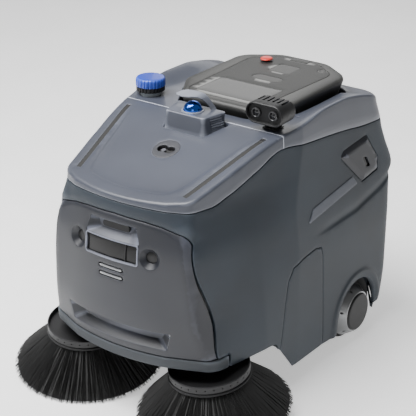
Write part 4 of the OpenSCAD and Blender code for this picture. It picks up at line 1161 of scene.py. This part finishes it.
for s, word in SIDES:
    at = place(CAM_X + s * 28, -62, CAM_Z, rx=90)
    lathe("camera_ring_" + word, ring_profile, RING, at=at, steps=64)
    lathe("camera_lens_" + word, lens_profile, LENS, at=at, steps=48)
block("camera_post", (38, 30, 36), BLACK, at=place(CAM_X, -20, 789), bevel=2.0)
block("camera_foot", (46, 40, 3), BLACK, at=place(CAM_X, -22, 775.6), bevel=0.8)

# %% Filler cap
def scallops(r, deep, n=288):
    turn = np.linspace(0, 2 * math.pi, n, endpoint=False)
    dent = np.maximum(0, np.cos(24 * turn)) ** 1.5 * deep
    return [((r - d) * math.cos(a), (r - d) * math.sin(a)) for a, d in zip(turn, dent)]


fill_at = place(*FILLER_AT, 0)
cap_steps = ((43.8, 2.2, 800.4), (44, 2.2, 802), (44, 2.0, 817), (43, 1.2, 821), (40.5, 0.5, 824.2),
             (37, 0.1, 825.4), (30, 0, 825.9))
cap_top = stack("filler_cap_cover", [(scallops(r, d), z) for r, d, z in cap_steps], CAP_BLUE, "filler_cap",
                at=fill_at, smooth=35)
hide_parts("filler_cap_top")


def ribs(r, deep, n=288):
    turn = np.linspace(0, 2 * math.pi, n, endpoint=False)
    reach = [r + deep * (math.cos(24 * a) > 0) for a in turn]
    return [(d * math.cos(a), d * math.sin(a)) for a, d in zip(turn, reach)]


grip_steps = ((38, 0, 784.3), (39.5, 3.2, 785.4), (39.5, 3.2, 799.8))
skirt_piece = stack("filler_cap_grip", [(ribs(r, d), z) for r, d, z in grip_steps], BLACK, "filler_cap",
                    at=fill_at, smooth=25)
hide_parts("filler_cap_skirt")


# %% Socket, light strips and slot on the decks
def on_deck(lift=0.0):
    def lay(uv, depth):
        return deck_point(uv[:, 0], uv[:, 1], depth - lift)
    return lay


def two_lobes(cx, cy, gap, r, n=24):
    meet = math.acos(gap / r)
    turn = np.linspace(-math.pi + meet, math.pi - meet, n)
    right = [(cx + gap + r * math.cos(a), cy + r * math.sin(a)) for a in turn]
    return right[1:-1] + [(2 * cx - x, 2 * cy - y) for x, y in right[1:-1]]


SOCKET = finish("glass_filled_nylon_grey", "#2E2F33", "#3E3F44", 0.45, 1.4, 0.2, edge="#5E5F66")
socket_rim = panel("socket_rim", [ring(*SOCKET_AT, 39.6, 64), two_lobes(*SOCKET_AT, 12, 15)], on_deck(0.9), SOCKET,
                   step=7, roll=1.4, wall=7)
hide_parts("deck_socket")
lobes = even(two_lobes(*SOCKET_AT, 12, 15.2), 80)
rows = [(lobes, 1.4)] + [(offset(turned(lobes), g).tolist(), d) for g, d in ((1.0, 5), (1.2, 11))]
funnel("socket_well", rows, BLACK, lay=on_deck())
funnel("socket_pin", [(ring(-8, -230, r, 24), d) for r, d in ((7, 11), (6.4, 5.5))], SOCKET, lay=on_deck())
for s, word in SIDES:
    panel("light_strip_" + word, [dense(strip_loop(s, -0.3), 8)], on_deck(-0.9), STRIP, step=6,
                        roll=0.8, wall=5)
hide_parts("light_strips")
panel("strip_end", [dense(rounded([(226.6, -110), (241.6, -112), (244, -98), (229.6, -96)], 2), 4)],
      on_deck(-0.5), BLACK, step=5, roll=0.5, wall=4)

# %% Side pods and plates
POD = rounded([(230, 641), (362, 651), (418, 571), (411, 530), (321, 520), (213, 625)], 6)
POD_WINDOW = rounded([(322, 596), (346, 588), (362, 556), (338, 560)], 4)
PLATE_EDGE = rounded([(16, 491), (45, 528), (268, 552), (291, 523)], 5)


def pod_relief(p):
    edge = turned(POD, False)
    d = np.abs(away(p[:, 1:], edge + edge[:1]))
    return 8.5 * step_up(d, 0, 13) - 1.5


pod_pieces, plate_pieces = [], []
pod_mark = [sheet_from(offset(turned(POD), g).tolist(), "side") for g in (3, 6.5, 10, 13)]
for s, word in SIDES:
    pod = panel("side_pod_" + word, [sheet_from(dense(POD, 7), "side"), sheet_from(dense(POD_WINDOW, 4), "side")],
                on_sheet(pod_relief), COVER, step=8, marks=pod_mark, mirror=s < 0, roll=0.8, wall=8)
    well = funnel("pod_window_" + word, [(sheet_from(even(POD_WINDOW, 48), "side"), d) for d in (0.8, 5)], GLOSS,
                  lay=on_sheet(pod_relief))
    if s < 0:
        well.data.transform(FLIP_X)
        well.data.flip_normals()
    pod_pieces.append(pod)
    plate_pieces.append(panel("blank_plate_" + word, [sheet_from(dense(PLATE_EDGE, 7), "side")],
                              on_sheet(lambda p: flank_relief(p) + 1.6), PLATE, step=9, mirror=s < 0, roll=0.8,
                              wall=2.2))
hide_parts("sensor_pods")
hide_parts("badge_plates")
for piece in pod_pieces:
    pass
for piece in plate_pieces:
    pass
print("fittings made")

# %% [markdown]
# ## Wheels and brushes
# Tyres, hubs and brush plates are turned. Each hub has a satin chamfer ring with six small holes and a dark flat
# disc. The bristles are separate tapered fibres, gathered in tufts and laid over a dark core.

# %% Drive wheels
HUB_DISC = finish("hub_disc_black_nylon", "#050506", "#0B0B0C", 0.5, 1.4, 0.2, edge="#1E1E20")
RING_METAL = finish("brushed_hub_ring", "#6A6B6C", "#8E8F90", 0.36, 1.0, 0.1, metallic=1.0, edge="#BEBFC0")
tread = [(88, -22), (92.5, -21), (94.6, -17)]
for g in (-12, -4, 4, 12):
    tread += [(95, g - 2.6), (92.4, g - 1.6), (92.4, g + 1.6), (95, g + 2.6)]
tread += [(94.6, 17), (92.8, 20.5), (90, 21.6), (89.2, 23), (87.6, 21.8), (86.4, 22.6), (84.8, 22.6), (77, 22.4)]
tread += [(77, -22)]
hub_profile = [(60, 20), (83.4, 20), (84, 24), (84, 30), (83, 31.6), (64.5, 60.6), (62.5, 61.6), (60.5, 61.2),
               (60, 20)]
disc_profile = [(0, 16), (61, 16), (60.6, 61.4), (59.6, 62.6), (57.6, 66.4), (56, 67.4), (52, 67.6), (0, 67.6)]
for s, word in SIDES:
    at = place(s * 270, AXLE_Y, TYRE_R, ry=s * 90)
    body = "wheel_" + word
    tyre = lathe("tyre_" + word + "_rubber", tread + [tread[0]], RUBBER, body, at, steps=120)
    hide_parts("tyre_" + word)
    ring_piece = lathe("hub_ring_" + word, hub_profile, RING_METAL, body, at, steps=120)
    drills = [lathe("drill_%d" % k, [(0, -20), (3.1, -20), (3.1, 26), (0, 26)], BLACK, body,
                    at @ place(73 * math.cos(a), 73 * math.sin(a), 40), steps=20)
              for k, a in enumerate(np.radians(np.arange(15, 375, 60)))]
    cut(ring_piece, drills)
    shade(ring_piece, 30)
    hub_disc = lathe("hub_disc_" + word, disc_profile, HUB_DISC, body, at, steps=120)
    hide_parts("wheel_hub_" + word)

# %% Wheel wells
WELL_R = 106
WELL = finish("wheel_well_liner", "#0E0F10", "#17181A", 0.7, 2.0, 0.2)
for s, word in SIDES:
    arch_line = arch_arc(WELL_R, 0, 181, 6) + [(AXLE_Y - WELL_R, 62), (AXLE_Y + WELL_R, 62)]
    n = len(arch_line)
    verts = [(s * x, y, z) for x in (306, 228) for y, z in arch_line]
    faces = [(k, k + 1, n + k + 1, n + k) for k in range(n - 3)] + [tuple(range(n, 2 * n))]
    well = mesh_piece("wheel_well_" + word, verts, faces, WELL)
    modifier(well, "SOLIDIFY", thickness=0.0015, offset=1)

# %% Brush bands and bristles
LEAN_FRONT, LEAN_SIDE, BRUSH_R = 6.5, 3.0, 226


def brush_place(s):
    lean = math.acos(math.cos(math.radians(LEAN_FRONT)) * math.cos(math.radians(LEAN_SIDE)))
    tip = BRUSH_R * math.sin(lean) + 0.2
    return place(s * 230, -318, tip, rx=LEAN_FRONT, ry=-s * LEAN_SIDE)


def fibres(count=1500):
    """Tapered three-sided fibres in tufts, from the band's foot out to the floor."""
    verts, faces = [], []
    for k in range(count):
        tuft = k // 12
        a = (tuft + 0.5) / (count / 12) * 2 * math.pi + rng.uniform(-0.022, 0.022) + 0.012 * math.sin(tuft * 2.3)
        root = 110 - rng.random() ** 1.6 * 26
        reach = BRUSH_R - 1.2 - rng.random() ** 2 * 16 - (110 - root) * 0.3
        swirl = rng.uniform(-0.03, 0.03)
        wide = rng.uniform(0.9, 1.5)
        start = len(verts)
        for j, t in enumerate((0, 0.25, 0.5, 0.75, 1)):
            r = root + (reach - root) * (t + 0.05 * math.sin(math.pi * t))
            h = 108 - (108 - 0.8) * (t + 0.03 * math.sin(math.pi * t))
            b = a + swirl * t
            w = wide * (1 - 0.45 * t)
            for c in range(3):
                turn = 2 * math.pi * c / 3 + math.pi / 2
                du, dn = w * math.cos(turn), w * math.sin(turn)
                verts.append(((r + dn * 0.7) * math.cos(b) - du * math.sin(b),
                              (r + dn * 0.7) * math.sin(b) + du * math.cos(b), h + dn * 0.7))
            if j:
                q = start + 3 * j
                faces += [(q - 3 + c, q - 3 + (c + 1) % 3, q + (c + 1) % 3, q + c) for c in range(3)]
        faces.append((start + 14, start + 13, start + 12)[::-1])
    return verts, faces


core_profile = [(76, 108), (108, 108), (196, 20), (214, 4), (164, 3), (76, 108)]
band_profile = [(10, 116), (76, 116), (76, 111), (113, 110.2), (118, 112), (118.6, 114.6), (117, 117),
                (113.4, 118), (113.4, 121.4), (116, 122), (116, 140), (115, 141.6), (112, 141.8), (111, 128),
                (24, 128), (24, 147), (10, 147), (10, 116)]
for s, word in SIDES:
    at = brush_place(s)
    body = "brush_" + word
    core = lathe("bristle_core_" + word, core_profile, FIBRE, body, at)
    strand_verts, strand_faces = fibres()
    strand = mesh_piece("bristle_fibres_" + word, strand_verts, strand_faces, FIBRE, body, 60)
    strand.data.transform(at)
    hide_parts("bristles_" + word)
    band = lathe("brush_band_" + word, band_profile, BLACK, body, at, steps=144)
    drills = [lathe("vent_%d" % k, [(0, -5), (2.0, -5), (2.0, 5), (0, 5)], BLACK, body,
                    at @ place(114.5 * math.cos(a), 114.5 * math.sin(a), 131) @ Matrix.Rotation(a, 4, "Z")
                    @ Matrix.Rotation(math.radians(90), 4, "Y"), steps=12)
              for k, a in enumerate(np.radians(np.arange(0, 360, 12)))]
    cut(band, [join(drills[0], drills[1:])])
    shade(band, 30)
    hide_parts("brush_plate_" + word)
print("brush fibres:", len(strand.data.polygons))

# %% [markdown]
# ## Finishes of the CAD pieces
# Frame, motors, casters, roller, hopper and the pieces inside keep their CAD shape and take a finish from the table.

# %% Materials of the remaining nodes
TABLE = {
    FRAME: ["chassis_frame", "upper_frames", "brush_arm_left", "brush_arm_right"],
    STEEL: ["caster_mounts", "caster_fork_left", "caster_fork_right", "roller_core"],
    ALLOY: ["hub_motors", "fan_impeller"],
    BLACK: ["roller_hood", "roller_motor", "brush_motor_left", "brush_motor_right", "fan_housing", "battery_pack",
            "lidar_unit"],
    RUBBER: ["caster_wheel_left", "caster_wheel_right"],
    FIBRE: ["roller_bristles"], POLY: ["water_tank"], PAPER: ["dust_filter"], PLATE: ["control_box"],
    BUMPER: ["dust_hopper"],
}
done = set()
for mat, names in TABLE.items():
    for name in names:
        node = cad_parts[name]
        for slot in node.material_slots:
            slot.material = mat
        if not node.material_slots:
            node.data.materials.append(mat)
        done.add(name)
FALLBACK = finish("hidden_backing_plastic", "#1B1C1E", "#26272A", 0.6, 2.0, 0.2)
for name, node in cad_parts.items():
    if name not in done:
        for slot in node.material_slots:
            slot.material = FALLBACK
print("CAD nodes with a finish:", len(done))

# %% [markdown]
# ## Camera, floor and light
# A long lens looks down from the front on the machine's left. A wide lamp overhead does most of the work, a key
# lamp and a fill shape the front, and a rim lamp picks out the rear. The floor glows a little to stay pale.

# %% Camera, floor and light
def finish_scene():
    bpy.ops.mesh.primitive_plane_add(size=40)
    floor = bpy.context.object
    floor.name = "floor"
    floor.data.materials.append(finish("pale_floor", "#F4F4F4", "#FBFBFB", 0.8, 4.0, 0.0, speckle=0.0))
    glow = floor.data.materials[0].node_tree.nodes["Principled BSDF"]
    glow.inputs["Emission Color"].default_value = (1, 1, 1, 1)
    glow.inputs["Emission Strength"].default_value = 0.6
    camera = bpy.data.cameras.new("camera")
    camera.lens = 121.15
    camera.sensor_width = 36
    eye = bpy.data.objects.new("camera", camera)
    bpy.context.collection.objects.link(eye)
    az, el, far = math.radians(36), math.radians(24), 4.114
    target = Vector((-0.002, -0.029, 0.475))
    eye.location = target + far * Vector((math.sin(az) * math.cos(el), -math.cos(az) * math.cos(el), math.sin(el)))
    eye.rotation_euler = (target - eye.location).to_track_quat("-Z", "Y").to_euler()
    bpy.context.scene.camera = eye
    world = bpy.data.worlds.new("studio")
    bpy.context.scene.world = world
    world.use_nodes = True
    world.node_tree.nodes["Background"].inputs["Color"].default_value = (1, 1, 1, 1)
    world.node_tree.nodes["Background"].inputs["Strength"].default_value = 0.22
    lamps = (("key", (-2.2, -2.2, 3.0), 1.4, 42), ("fill", (2.2, -3.4, 1.6), 1.6, 10),
             ("rim", (-1.6, 3.0, 2.2), 1.6, 18), ("overhead", (-0.9, -1.1, 3.9), 2.6, 330))
    for name, spot, size, power in lamps:
        lamp = bpy.data.lights.new(name, "AREA")
        lamp.size = size
        lamp.energy = power
        o = bpy.data.objects.new(name, lamp)
        bpy.context.collection.objects.link(o)
        o.location = spot
        o.rotation_euler = (Vector((0, 0, 0.4)) - o.location).to_track_quat("-Z", "Y").to_euler()


finish_scene()
